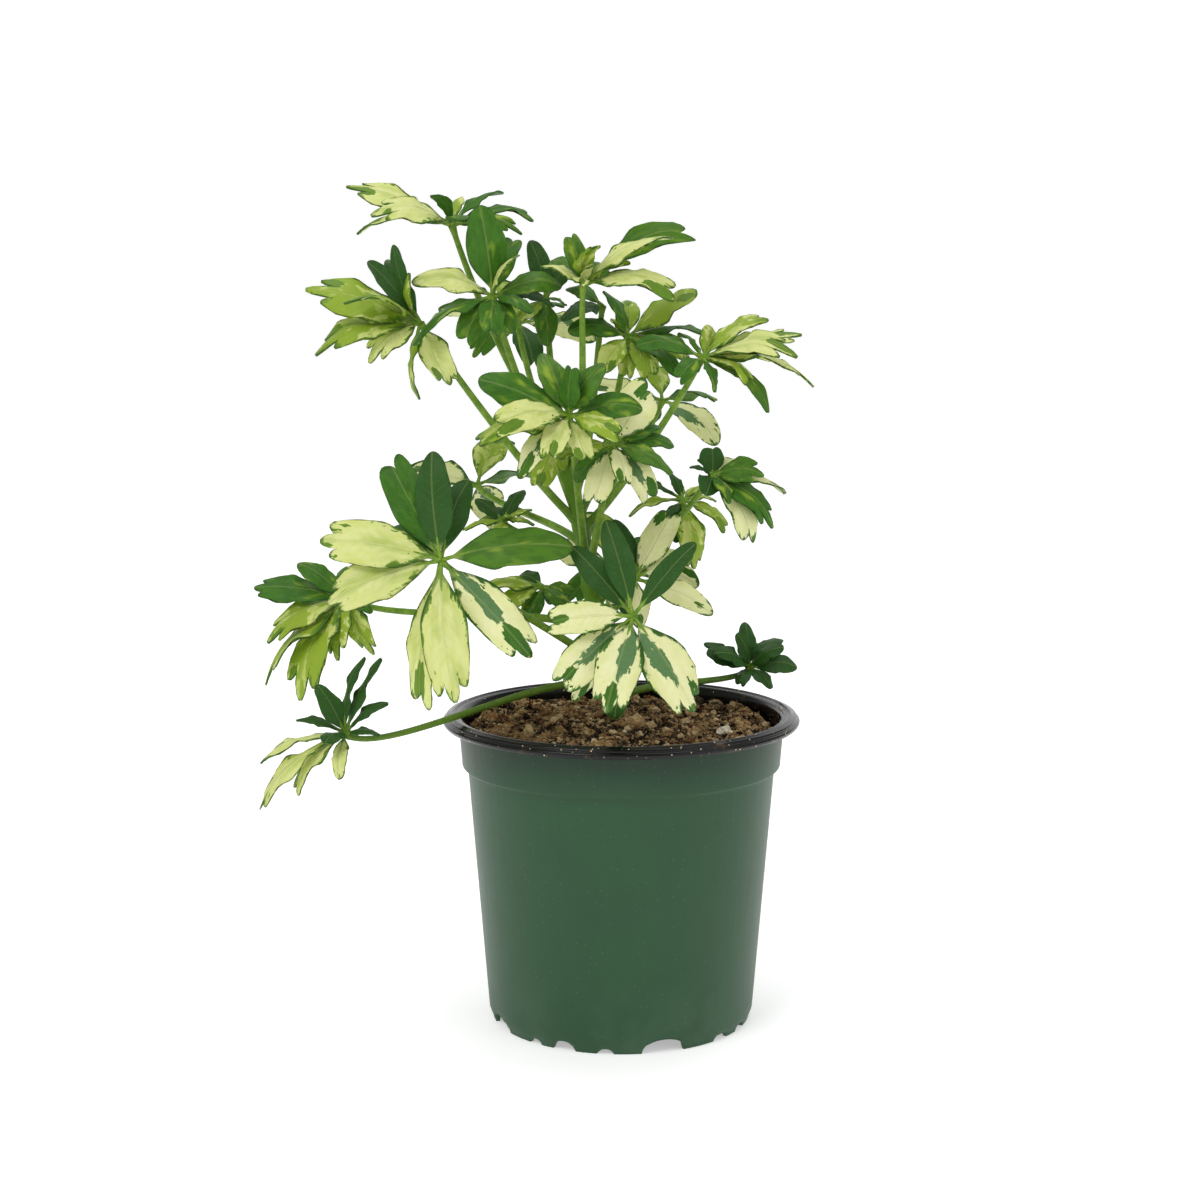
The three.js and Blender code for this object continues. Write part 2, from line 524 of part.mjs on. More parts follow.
// Leaves are placed in turn, and each leaflet is bent clear of what is there already

const taken = [];

function isClear(points, leafName, sisterClearance) {
  for (const p of points) {
    if (p.z < POT_HEIGHT + 1.5 && Math.hypot(p.x, p.y) < RIM_RADIUS + 1.5) return false;
  }
  for (const other of taken) {
    const isSister = other.owner === leafName;
    const reach = isSister ? sisterClearance : CLEARANCE + other.radius;
    const [mine, theirs] = isSister ? [outer(points), outer(other.points)] : [points, other.points];
    for (const p of mine) {
      if (reach === 0 || p.distanceTo(other.middle) > reach + other.extent) continue;
      for (const q of theirs) {
        if (p.distanceToSquared(q) < reach * reach) return false;
      }
    }
  }
  return true;
}

// The samples of a leaflet beyond its crowded root
function outer(points) {
  return points.slice(SAMPLES_ACROSS.length * ROOT_SAMPLES);
}

function take(owner, points, radius) {
  const middle = points.reduce((sum, p) => sum.add(p), new THREE.Vector3()).divideScalar(points.length);
  const extent = Math.max(...points.map((p) => p.distanceTo(middle)));
  taken.push({ owner, points, radius, middle, extent });
}

// The bends in the order they are tried: none first, then ever wider rings of lift and turn
function bends() {
  const list = [[0, 0]];
  for (let ring = 1; ring <= BEND_RINGS; ring++) {
    for (let k = 0; k < BEND_DIRECTIONS; k++) {
      const angle = 2 * Math.PI * k / BEND_DIRECTIONS;
      list.push([ring * BEND_STEP * Math.cos(angle), ring * BEND_STEP * Math.sin(angle)]);
    }
  }
  return list.map((pair) => pair.map(THREE.MathUtils.degToRad));
}

function placeLeaflet(leaf, reach, width, lobes, index) {
  const [hub, facing, tip] = [vector(leaf.hub), vector(leaf.facing).normalize(), vector(reach)];
  const side = tip.clone().cross(facing).normalize();
  for (const [share, sisterClearance] of TRIES) {
    for (const [lift, turn] of bends()) {
      const bent = tip.clone().applyAxisAngle(side, lift).applyAxisAngle(facing, turn);
      bent.multiplyScalar(share);
      const leaflet = new Leaflet(hub, facing, bent, width, lobes, index);
      const points = leaflet.samples();
      if (!isClear(points, leaf.name, sisterClearance)) continue;
      take(leaf.name, points, 0);
      return leaflet;
    }
  }
  return null;
}

// An even ring of leaflets about the way the leaf faces, each third one shorter
function ringLeaflets({ facing, count, reach }) {
  const axis = vector(facing).normalize();
  const first = new THREE.Vector3(0, 0, 1).cross(axis).normalize();
  const leaflets = [];
  for (let i = 0; i < count; i++) {
    const tip = first.clone().applyAxisAngle(axis, 2 * Math.PI * (i + 0.3) / count);
    tip.addScaledVector(axis, RING_LIFT).multiplyScalar(reach * (1 - 0.12 * (i % 3)));
    leaflets.push([...tip, RING_WIDTH, 1 + i % 3]);
  }
  return leaflets;
}

// Leaflets added where a leaf's own list leaves the widest gaps round its hub
function fillGaps(leaf) {
  const axis = vector(leaf.facing).normalize();
  const first = new THREE.Vector3(0, 0, 1).cross(axis).normalize();
  const second = axis.clone().cross(first);
  const leaflets = leaf.leaflets.map((leaflet) => [...leaflet]);
  const clock = leaflets.map(([x, y, z]) => {
    const tip = new THREE.Vector3(x, y, z);
    const length = tip.length();
    return { turn: Math.atan2(tip.dot(second), tip.dot(first)), rise: tip.dot(axis) / length, length };
  });
  while (clock.length < leaf.full) {
    clock.sort((a, b) => a.turn - b.turn);
    let widest = { gap: 0 };
    clock.forEach((low, i) => {
      const high = clock[(i + 1) % clock.length];
      const gap = i + 1 < clock.length ? high.turn - low.turn : high.turn + 2 * Math.PI - low.turn;
      if (gap > widest.gap) widest = { gap, low, high };
    });
    const { gap, low, high } = widest;
    const turn = low.turn + gap / 2;
    const length = FILL_LENGTH * (low.length + high.length) / 2;
    const rise = (low.rise + high.rise) / 2;
    const flat = Math.sqrt(1 - rise * rise);
    const tip = first.clone().multiplyScalar(flat * Math.cos(turn));
    tip.addScaledVector(second, flat * Math.sin(turn)).addScaledVector(axis, rise).multiplyScalar(length);
    clock.push({ turn: turn > Math.PI ? turn - 2 * Math.PI : turn, rise, length });
    leaflets.push([...tip, FILL_WIDTH, 1 + leaflets.length % 2]);
  }
  return leaflets;
}

function buildLeaf(leaf, leaflets, stemClearance) {
  const [foot, end] = [PETIOLE_FOOT_RADIUS, PETIOLE_TIP_RADIUS];
  const rod = taperedRod(petioleCurve(leaf), foot, end, PETIOLE_STEPS, PETIOLE_SIDES);
  const hub = new THREE.OctahedronGeometry(HUB_RADIUS, 0).rotateX(0.4).translate(...leaf.hub);
  const blades = leaflets.map((leaflet) => leaflet.solid());
  const whole = union([rod, solidFromGeometry(hub), ...blades]).subtract(stemClearance);
  return largest(whole.simplify(MERGE));
}

// The whole plant in its pot

const plant = new THREE.Group();
plant.add(meshFromSolid('pot', buildPot(), POT_GREEN, 0.45));
plant.add(meshFromSolid('soil', buildSoil(buildStem(GAP)), SOIL_BROWN, 0.95));
plant.add(meshFromSolid('stem', buildStem(), STEM_GREEN, 0.6));

const stemFoot = STEM_PATH[0][2];
const stemTop = STEM_PATH[STEM_PATH.length - 1][2];
const stemPoints = [];
for (let z = stemFoot; z <= stemTop; z += 2) stemPoints.push(stemAt(z));
take('stem', stemPoints, STEM_FOOT_RADIUS - 2);
const leaves = [...LEAVES, ...RING_LEAVES];
for (const leaf of leaves) take(leaf.name, petioleCurve(leaf).getPoints(36), 0);
for (const leaf of leaves) {
  const wanted = leaf.leaflets ? fillGaps(leaf) : ringLeaflets(leaf);
  const placed = wanted.map(([x, y, z, width, lobes], i) => {
    return placeLeaflet(leaf, [x, y, z], width, lobes, i);
  });
  const solid = buildLeaf(leaf, placed.filter((leaflet) => leaflet !== null), buildStem(GAP));
  plant.add(meshFromSolid(leaf.name, solid, LEAF_GREEN, 0.5));
}

export default plant;
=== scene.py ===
import math
import random

import bmesh
import bpy
import numpy as np
from bpy.props import FloatProperty, FloatVectorProperty, IntProperty, PointerProperty
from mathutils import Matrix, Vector, noise


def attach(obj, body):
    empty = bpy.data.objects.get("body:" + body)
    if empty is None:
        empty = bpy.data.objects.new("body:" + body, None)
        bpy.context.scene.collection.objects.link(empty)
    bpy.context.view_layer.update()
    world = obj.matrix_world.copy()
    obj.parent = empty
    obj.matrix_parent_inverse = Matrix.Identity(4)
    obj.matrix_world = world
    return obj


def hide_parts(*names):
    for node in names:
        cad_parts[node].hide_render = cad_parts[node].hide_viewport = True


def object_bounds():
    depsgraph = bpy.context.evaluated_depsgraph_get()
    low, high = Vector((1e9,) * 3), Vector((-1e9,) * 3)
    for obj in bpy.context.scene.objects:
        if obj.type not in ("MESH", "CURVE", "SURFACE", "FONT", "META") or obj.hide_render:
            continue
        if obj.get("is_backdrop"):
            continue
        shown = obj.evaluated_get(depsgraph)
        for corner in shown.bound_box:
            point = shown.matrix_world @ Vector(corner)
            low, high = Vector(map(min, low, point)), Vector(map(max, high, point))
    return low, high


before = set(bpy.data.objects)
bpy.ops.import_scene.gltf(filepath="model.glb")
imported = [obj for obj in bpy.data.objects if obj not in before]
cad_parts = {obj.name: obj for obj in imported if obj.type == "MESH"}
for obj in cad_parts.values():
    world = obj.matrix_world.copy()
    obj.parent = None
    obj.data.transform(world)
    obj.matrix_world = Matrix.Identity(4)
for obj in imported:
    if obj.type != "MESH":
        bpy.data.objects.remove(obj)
CAD_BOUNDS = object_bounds()

bl_info = {
    "name": "Potted Umbrella Plant",
    "version": (1, 0, 0),
    "blender": (4, 5, 0),
    "location": "View3D > Sidebar > Plant",
    "description": "Builds a variegated umbrella plant in a nursery pot around its packed solids",
    "category": "Add Mesh",
}

MM = 0.001

# The plant's own sizes, as its solids have them: lengths in millimetres, and for a leaflet
# its stalk, bend and waves as shares of its length
STEM_PATH = [
    (-0.5, 4, 80), (-1.5, 4, 100), (-6, 2, 122), (-10, 1, 140),
    (-12, 0, 155), (-15, 0, 168), (-18, 0, 180), (-20, 0, 188)]
STEM_FOOT_RADIUS = 3.6
STEM_TIP_RADIUS = 1.9
POT_HEIGHT = 99.6
RIM_RADIUS = 57
# A leaf's stalk leaves the stem outward and upward, and arrives between its leaf's facing and its own way
STALK_OUTWARD, STALK_UPWARD, STALK_LEVEL = 0.55, 0.45, 8
STALK_DEPARTURE, STALK_ARRIVAL = 0.3, 0.22
STALK_FACING, STALK_STRAIGHT = 0.6, 0.4
STALK_SHARE = 0.13
STALK_WIDTH_SHARE = 0.06
ARCH = 0.16
CURL = 0.7
CURL_START = 0.55
FOLD = 0.12
WAVE = 0.03
TWIST = 0.4
# A blade is broadest this far along it, and narrows from there to its tip, less where it is lobed
BROADEST, NARROWING_REACH = 0.68, 0.32
SHOULDER_POWER = 1.15
LOBED_NARROWING, PLAIN_NARROWING = 0.1, 0.22
# Fixed steps by which each leaflet's arch, curl, twist and waves differ from the last one's
LEAST_ARCH, ARCH_STEP = 0.5, 0.618
LEAST_CURL, CURL_STEP = 0.3, 0.382
TWIST_STEP = 2.4
WAVES_ALONG, WAVE_STEP, WAVE_SIDES = 9, 1.7, 1.5
# Leaves whose hubs are above this height curl and twist this many times as much
LIVELY_HEIGHT = 160
LIVELY = 1.5

# How far a leaflet keeps from other leaves, and the bends it tries to get there
CLEARANCE = 3.3
BEND_STEP = 7
BEND_RINGS = 4
BEND_DIRECTIONS = 8
POT_CLEARANCE = 1.5
TRIES = [(1, 2.2), (1, 1.2), (1, 0), (0.84, 0), (0.68, 0), (0.55, 0)]
SAMPLES_ALONG = 9
SAMPLES_ACROSS = np.array([-0.9, -0.45, 0, 0.45, 0.9])
ROOT_SAMPLES = 3
STALK_SAMPLES = 37

# Every leaf: its name, its hub, the way it faces, the height it grows from and how many leaflets it is
# filled up to, then its own leaflets. A leaflet is its tip's reach from the hub, its width over its
# length, its lobes and its colouring: C cream, M cream with a green middle, B buttery cream,
# Y yellow green, G green, D dark green.
LEAVES = [
    ("front_star", (3, -50, 138), (0, -0.9, 0.45), 118, 9, [
        (-18, 8, 20, 0.3, 1, "D"), (-8, 10, 27, 0.3, 1, "D"), (18, 4, 22, 0.25, 1, "D"),
        (-26, -4, -1, 0.38, 2, "C"), (-26, -8, -14, 0.42, 2, "M"), (-8, -12, -27, 0.46, 3, "M"),
        (18, -10, -26, 0.46, 3, "M"), (-20, -8, -23, 0.22, 1, "M"), (-9, 3, -31, 0.26, 1, "D")]),
    ("front_left", (-54, -45, 154), (-0.15, -0.85, 0.5), 112, 10, [
        (-16, 6, 30, 0.36, 2, "G"), (-2, 2, 32, 0.38, 1, "D"), (7, 9, 24, 0.36, 1, "D"),
        (-35, -4, 7, 0.4, 3, "B"), (-34, -9, -6, 0.4, 3, "B"), (-8, -8, -43, 0.23, 2, "B"),
        (5, -10, -41, 0.33, 3, "B"), (27, -8, -27, 0.34, 3, "M"), (39, -2, 5, 0.36, 1, "G"),
        (-16, 12, 9, 0.36, 1, "D")]),
    ("far_left", (-86, -8, 137), (-0.5, -0.4, 0.75), 124, 10, [
        (-30, 3, 4, 0.38, 3, "G"), (-27, -5, -8, 0.42, 4, "Y"), (-31, -7, -19, 0.4, 4, "Y"),
        (-18, -10, -29, 0.44, 4, "Y"), (-6, -12, -16, 0.5, 4, "Y"), (7, -5, -17, 0.42, 4, "Y"),
        (8, -4, -4, 0.44, 1, "G"), (-16, 8, 9, 0.4, 1, "G")]),
    ("trailing", (-84, -38, 100), (-0.3, -0.3, 0.9), 106, 11, [
        (10, 4, 23, 0.2, 1, "D"), (4, 6, 23, 0.2, 1, "D"), (10, -3, 12, 0.26, 1, "D"),
        (9, -6, 5, 0.36, 1, "D"), (-15, 3, 5, 0.22, 1, "D"), (-7, 4, 15, 0.42, 1, "D"),
        (-5, -9, 0, 0.75, 1, "D"), (-26, -4, -5, 0.28, 3, "B"), (-26, -8, -21, 0.2, 2, "B"),
        (-19, -8, -11, 0.3, 2, "B"), (-2, -9, -11, 0.48, 1, "B")]),
    ("top_left", (-53, 5, 253), (-0.1, -0.45, 0.9), 187, 9, [
        (-33, 4, 14, 0.34, 4, "B"), (-23, -12, 6, 0.46, 4, "B"), (-4, -10, 11, 0.3, 1, "G"),
        (15, 10, 12, 0.24, 1, "G"), (25, 6, 8, 0.24, 2, "G"), (21, -5, 2, 0.28, 4, "G"),
        (3, 14, 10, 0.34, 1, "Y"), (-28, -4, 9, 0.34, 4, "B")]),
    ("upper_left", (-40, -5, 231), (0, -0.6, 0.8), 178, 12, [
        (-4, -6, 28, 0.44, 1, "G"), (-23, -8, 7, 0.34, 1, "B"), (-25, -12, -10, 0.28, 1, "G"),
        (4, -9, 14, 0.46, 2, "B"), (7, 5, 20, 0.38, 2, "G"), (20, 2, 7, 0.42, 1, "G"),
        (19, 8, -1, 0.36, 1, "D"), (-12, 9, 3, 0.4, 1, "D"), (13, -8, -2, 0.4, 1, "G")]),
    ("left", (-62, -10, 223), (-0.35, -0.55, 0.75), 160, 12, [
        (-34, -6, 12, 0.46, 4, "Y"), (-12, -12, -13, 0.5, 4, "B"), (7, -12, -15, 0.5, 3, "B"),
        (12, -8, -9, 0.42, 2, "B"), (-32, -10, 3, 0.44, 4, "Y"), (-23, -14, 0, 0.4, 4, "Y"),
        (-17, 8, 20, 0.22, 1, "D"), (-13, 6, 24, 0.2, 1, "D"), (-5, 6, 24, 0.22, 1, "D"),
        (-3, -8, 15, 0.36, 1, "Y"), (-4, -6, -22, 0.2, 1, "Y")]),
    ("upper_centre", (-12, -5, 234.5), (0.1, -0.5, 0.85), 175, 11, [
        (-4, 2, 16, 0.42, 2, "G"), (2, -8, 13, 0.5, 2, "Y"), (32, 8, 22, 0.22, 2, "G"),
        (29, -2, 14, 0.32, 2, "B"), (28, -12, 2, 0.36, 2, "B"), (-11, -3, 8, 0.44, 1, "B"),
        (-16, 6, 6, 0.36, 1, "G"), (8, 17, 8, 0.36, 1, "G"), (13, -4, 9, 0.44, 2, "Y")]),
    ("right", (25, -5, 212), (0.35, -0.35, 0.87), 158, 11, [
        (31, 4, 9, 0.34, 4, "B"), (35, -4, -4, 0.32, 4, "B"), (28, -12, 0, 0.36, 4, "B"),
        (4, -10, -9, 0.34, 1, "G"), (15, -12, -4, 0.34, 2, "Y"), (22, -10, -9, 0.24, 1, "G"),
        (-20, -4, 6, 0.36, 1, "G"), (-6, 7, 9, 0.4, 1, "G"), (20, 8, 12, 0.3, 2, "Y")]),
    ("centre_front", (-16, -35, 196), (-0.1, -0.8, 0.6), 150, 12, [
        (-26, -6, 12, 0.42, 1, "G"), (9, -2, 16, 0.54, 1, "G"), (-27, -10, 3, 0.42, 2, "Y"),
        (-24, -12, -8, 0.36, 2, "B"), (-15, -12, -15, 0.34, 1, "M"), (21, 0, 5, 0.42, 1, "G"),
        (-6, -13, -12, 0.44, 2, "B"), (-6, 2, 20, 0.44, 1, "G"), (16, -9, -6, 0.42, 2, "Y")]),
    ("centre_right", (-3, -28, 187), (0.1, -0.75, 0.65), 145, 12, [
        (-6, -9, -17, 0.44, 2, "C"), (4, -10, -10, 0.46, 2, "C"), (11, -6, -16, 0.4, 2, "M"),
        (18, -6, -7, 0.38, 1, "G"), (20, 4, 1, 0.3, 1, "G"), (-16, -6, 4, 0.36, 1, "Y"),
        (-13, -6, -7, 0.4, 1, "G"), (12, 8, 17, 0.62, 2, "C"), (-6, 4, 12, 0.44, 1, "Y")]),
    ("right_front", (28, -10, 176), (0.25, -0.5, 0.8), 134, 10, [
        (0, 2, 9, 0.9, 2, "D"), (-2, -9, -4, 0.8, 1, "D"), (15, -4, 3, 0.62, 4, "G"),
        (25, 2, -2, 0.24, 2, "C"), (20, -8, -12, 0.44, 4, "G"), (12, -9, -18, 0.36, 2, "C"),
        (8, -9, -6, 0.5, 1, "G")]),
    ("right_mid", (20, 12, 166), (0, -0.3, 0.95), 140, 10, [
        (-14, 4, 7, 0.22, 1, "D"), (-18, 2, -1, 0.18, 1, "Y"), (-8, -8, -7, 0.36, 1, "D"),
        (4, -6, -21, 0.46, 3, "Y"), (15, -3, -7, 0.42, 2, "Y"), (-4, 4, 10, 0.34, 1, "D")]),
    ("right_low", (4, -12, 144), (0.2, -0.8, 0.55), 126, 9, [
        (12, 4, 21, 0.4, 2, "C"), (-4, 4, 19, 0.34, 1, "D"), (24, -8, -8, 0.3, 1, "C"),
        (2, -4, -15, 0.5, 1, "C"), (-8, -6, -8, 0.46, 1, "C")]),
    ("rim_right", (43, 30, 108), (0, -0.5, 0.85), 102, 9, [
        (-15, -4, 8, 0.56, 2, "D"), (-15, -7, 1, 0.5, 1, "D"), (-1, 4, 15, 0.44, 1, "D"),
        (8, 2, 14, 0.5, 2, "D"), (12, -2, 8, 0.56, 1, "D"), (16, 2, 2, 0.54, 1, "D"),
        (8, -8, -4, 0.5, 1, "D"), (-4, -10, -4, 0.46, 2, "D")]),
    ("upper_right", (2, 10, 218), (0.1, -0.4, 0.9), 163, 11, [
        (21, 0, 16, 0.48, 1, "Y"), (30, 6, 2, 0.3, 2, "G"), (8, -10, -10, 0.5, 2, "Y"),
        (-8, -10, -11, 0.5, 1, "Y"), (14, -12, -15, 0.36, 1, "G"), (18, -8, -6, 0.46, 3, "Y"),
        (-18, -6, 4, 0.46, 1, "G"), (-9, 4, 13, 0.5, 1, "G")]),
    ("dark_upper", (-6, 12, 228), (0.1, -0.7, 0.7), 169, 11, [
        (18, 4, -3, 0.5, 1, "D"), (12, -10, -6, 0.66, 3, "D"), (-13, -8, -6, 0.56, 1, "D"),
        (2, 10, 14, 0.4, 1, "D"), (-10, 8, 8, 0.4, 1, "G"), (15, 6, 8, 0.44, 1, "D")]),
    ("dark_top", (-24, 15, 230), (0, -0.4, 0.9), 176, 9, [
        (-9, -7, -6, 0.55, 1, "Y"), (5, -7, -13, 0.5, 1, "G"), (4, 8, 14, 0.4, 1, "G"),
        (-6, 9, 17, 0.36, 1, "D"), (14, 6, 8, 0.44, 1, "D"), (-15, 3, 4, 0.44, 1, "D")]),
    ("behind_centre", (-38, 15, 159), (0, -0.4, 0.9), 148, 9, [
        (-9, 4, 7, 0.5, 1, "D"), (6, 6, 10, 0.48, 1, "D"), (-13, -4, -1, 0.42, 2, "Y"),
        (10, -6, 0, 0.36, 1, "Y"), (-8, 12, 0, 0.4, 1, "G")]),
    ("under_centre", (-25, 12, 138), (0, -0.6, 0.8), 128, 8, [
        (-6, -8, -10, 0.5, 1, "G"), (7, -7, -9, 0.5, 1, "G"), (-22, -6, 2, 0.34, 2, "Y"),
        (-17, -9, -6, 0.38, 1, "Y"), (2, 12, -6, 0.42, 1, "D")]),
    ("young", (-20, -11, 187), (0, -0.8, 0.5), 182, 7, [
        (-6, -5, -14, 0.5, 2, "Y"), (2, -6, -9, 0.46, 1, "Y"), (-8, -2, 5, 0.4, 1, "Y")])]

# Leaves on the far side grow as even rings of leaflets about their hubs. The last two numbers are
# how many leaflets a ring has and how far they reach.
RING_LEAVES = [
    ("back_left", (-48, 44, 168), (-0.3, 0.6, 0.7), 152, 5, 30.5),
    ("back_right", (14, 46, 196), (0.2, 0.6, 0.75), 155, 5, 27),
    ("back_low", (-2, 52, 140), (0.1, 0.8, 0.6), 120, 6, 30),
    ("back_top", (-34, 42, 222), (0, 0.6, 0.8), 161, 6, 27)]
FILL_LENGTH = 0.8
FILL_WIDTH = 0.46
RING_WIDTH = 0.4
RING_LIFT = 0.05
RING_START = 0.3
RING_SHORTENING = 0.12
RING_TONES = "CYGMDG"

# Edges of a blade's lobes across it from -1 to 1, and the notch floors and tops along it from 0 to 1
LOBES = {
    1: ([-1, 1], [0.72, 0.72], [1]),
    2: ([-1, 0.12, 1], [0.72, 0.88, 0.72], [0.95, 1]),
    3: ([-1, -0.34, 0.36, 1], [0.7, 0.89, 0.87, 0.7], [0.93, 1, 0.94]),
    4: ([-1, -0.34, 0.36, 1], [0.6, 0.76, 0.74, 0.6], [0.86, 1, 0.9])}

# How much of each colouring's blade is cream, has a green middle, is yellow and is dark
TONES = {
    "C": (0.9, 0.05, 0.2, 0.3),
    "M": (0.85, 0.85, 0.1, 0.4),
    "B": (0.74, 0.15, 0.75, 0.25),
    "Y": (0.36, 0.3, 0.95, 0.2),
    "G": (0.08, 0.1, 0.4, 0.3),
    "D": (0.0, 0.0, 0.0, 0.95)}


# ---------------------------------------------------------------- geometry of the plant

def unit(v):
    return v / np.linalg.norm(v)


def turned(v, axis, angle):
    """The vector turned about a unit axis."""
    c, s = math.cos(angle), math.sin(angle)
    return v * c + np.cross(axis, v) * s + axis * (axis @ v) * (1 - c)


def stem_at(z):
    """The middle of the stem at a height."""
    path = np.array(STEM_PATH, float)
    return np.array([np.interp(z, path[:, 2], path[:, 0]), np.interp(z, path[:, 2], path[:, 1]), z])


def petiole_points(hub, facing, root, count):
    """Points of the leaf's stalk from the middle of the stem to the hub."""
    start, end = stem_at(root), np.array(hub, float)
    way = end - start
    length = np.linalg.norm(way)
    outward = unit(np.array([way[0], way[1], 0])) * STALK_OUTWARD
    outward[2] = STALK_UPWARD * np.sign(way[2] + STALK_LEVEL)
    inward = STALK_FACING * unit(np.array(facing, float)) + STALK_STRAIGHT * unit(way)
    rise, arrival = start + STALK_DEPARTURE * length * outward, end - STALK_ARRIVAL * length * inward
    s = np.linspace(0, 1, count)[:, None]
    leaving = (1 - s) ** 3 * start + 3 * (1 - s) ** 2 * s * rise
    return leaving + 3 * (1 - s) * s * s * arrival + s ** 3 * end


def reach_at(t, lobes):
    """How far along the leaflet its outer edge lies, for places across it from -1 to 1."""
    edges, floors, tops = LOBES[lobes]
    j = np.clip(np.searchsorted(edges, t, side="left") - 1, 0, len(tops) - 1)
    edges, floors, tops = np.array(edges), np.array(floors), np.array(tops)
    across = 2 * (t - edges[j]) / (edges[j + 1] - edges[j]) - 1
    floor = floors[j] + (floors[j + 1] - floors[j]) * (across + 1) / 2
    return floor + (tops[j] - floor) * np.sqrt(np.maximum(0, 1 - across * across))


def breadth_at(u, lobes):
    """The blade's half width as a share of its greatest, for places along it from 0 to 1."""
    k = np.maximum(0, (u - STALK_SHARE) / (1 - STALK_SHARE))
    rise = np.sin(math.pi / 2 * np.minimum(1, k / BROADEST)) ** SHOULDER_POWER
    fall = np.maximum(0, (k - BROADEST) / NARROWING_REACH)
    narrowing = 1 - (LOBED_NARROWING if lobes > 1 else PLAIN_NARROWING) * fall * fall
    return STALK_WIDTH_SHARE + (1 - STALK_WIDTH_SHARE) * rise * narrowing


class Leaflet:
    """One blade of a leaf: where it lies, and its surface over u along it and t across it."""

    def __init__(self, hub, facing, tip, width, lobes, index, tone):
        self.hub, self.tip, self.lobes, self.index, self.tone = hub, tip, lobes, index, tone
        self.length = np.linalg.norm(tip)
        self.half = width * self.length / 2
        self.mirror = -1 if index % 2 else 1
        self.side = unit(np.cross(tip, facing))
        up = unit(np.cross(self.side, tip))
        arch = ARCH * (LEAST_ARCH + (ARCH_STEP * index) % 1)
        lively = LIVELY if hub[2] > LIVELY_HEIGHT else 1
        self.twist = lively * TWIST * math.sin(TWIST_STEP * index)
        curl = lively * CURL * (LEAST_CURL + (CURL_STEP * index) % 1)
        self.control = 0.5 * tip + arch * self.length * up
        self.droop = -curl * self.length * up

    def at(self, u, t):
        """Points of the blade, the upward directions there and how far along they lie."""
        u, t = np.broadcast_arrays(np.asarray(u, float), np.asarray(t, float))
        s = (u * reach_at(self.mirror * t, self.lobes))[..., None]
        breadth = breadth_at(u, self.lobes)[..., None]
        t = t[..., None]
        past = np.maximum(0, s - CURL_START)
        along = (1 - 2 * s) * self.control + s * self.tip + past * self.droop
        along = along / np.linalg.norm(along, axis=-1, keepdims=True)
        flat = np.cross(self.side, along)
        side = self.side * np.cos(self.twist * s) + flat * np.sin(self.twist * s)
        normal = np.cross(side, along)
        ripple = np.sin(WAVES_ALONG * s + WAVE_STEP * self.index + WAVE_SIDES * np.sign(t))
        raised = WAVE * self.length * (t * breadth) ** 2 * ripple
        raised = raised - FOLD * np.abs(t) * self.half * breadth
        point = self.hub + 2 * (1 - s) * s * self.control + s * s * self.tip + past * past * self.droop
        return point + t * self.half * breadth * side + raised * normal, normal, s[..., 0]

    def samples(self):
        """A few points of the blade that stand for it when leaflets are kept apart."""
        u = 0.2 + 0.8 * np.arange(SAMPLES_ALONG) / (SAMPLES_ALONG - 1)
        points, _, _ = self.at(u[:, None], SAMPLES_ACROSS[None, :])
        return points.reshape(-1, 3)


def is_clear(points, owner, sister_clearance, taken):
    """Whether a leaflet's samples keep away from the pot and from everything already placed."""
    low = points[:, 2] < POT_HEIGHT + POT_CLEARANCE
    if np.any(low & (np.hypot(points[:, 0], points[:, 1]) < RIM_RADIUS + POT_CLEARANCE)):
        return False
    first_outer = len(SAMPLES_ACROSS) * ROOT_SAMPLES
    for other, theirs, radius in taken:
        is_sister = other == owner
        reach = sister_clearance if is_sister else CLEARANCE + radius
        if reach == 0:
            continue
        if is_sister:
            mine, theirs = points[first_outer:], theirs[first_outer:]
        else:
            mine = points
        apart = mine[:, None, :] - theirs[None, :, :]
        if np.any(np.einsum("ijk,ijk->ij", apart, apart) < reach * reach):
            return False
    return True


def bends():
    """Lift and turn in radians in the order they are tried: none first, then ever wider rings."""
    pairs = [(0.0, 0.0)]
    for ring in range(1, BEND_RINGS + 1):
        for k in range(BEND_DIRECTIONS):
            angle = 2 * math.pi * k / BEND_DIRECTIONS
            pairs.append((ring * BEND_STEP * math.cos(angle), ring * BEND_STEP * math.sin(angle)))
    return [(math.radians(lift), math.radians(turn)) for lift, turn in pairs]


def place_leaflet(leaf, wanted, index, taken):
    """The leaflet, bent clear of what is there already, or None where there is no room."""
    name, hub, facing, _ = leaf
    *reach, width, lobes, tone = wanted
    hub, facing, tip = np.array(hub, float), unit(np.array(facing, float)), np.array(reach, float)
    side = unit(np.cross(tip, facing))
    for share, sister_clearance in TRIES:
        for lift, turn in bends():
            bent = turned(turned(tip, side, lift), facing, turn) * share
            leaflet = Leaflet(hub, facing, bent, width, lobes, index, tone)
            points = leaflet.samples()
            if is_clear(points, name, sister_clearance, taken):
                taken.append((name, points, 0))
                return leaflet
    return None


def ring_leaflets(facing, count, reach):
    """An even ring of leaflets about the way the leaf faces, in runs of three that grow shorter."""
    axis = unit(np.array(facing, float))
    first = unit(np.cross((0, 0, 1), axis))
    leaflets = []
    for i in range(count):
        tip = turned(first, axis, 2 * math.pi * (i + RING_START) / count) + RING_LIFT * axis
        tip = tip * reach * (1 - RING_SHORTENING * (i % 3))
        leaflets.append((*tip, RING_WIDTH, 1 + i % 3, RING_TONES[i % len(RING_TONES)]))
    return leaflets


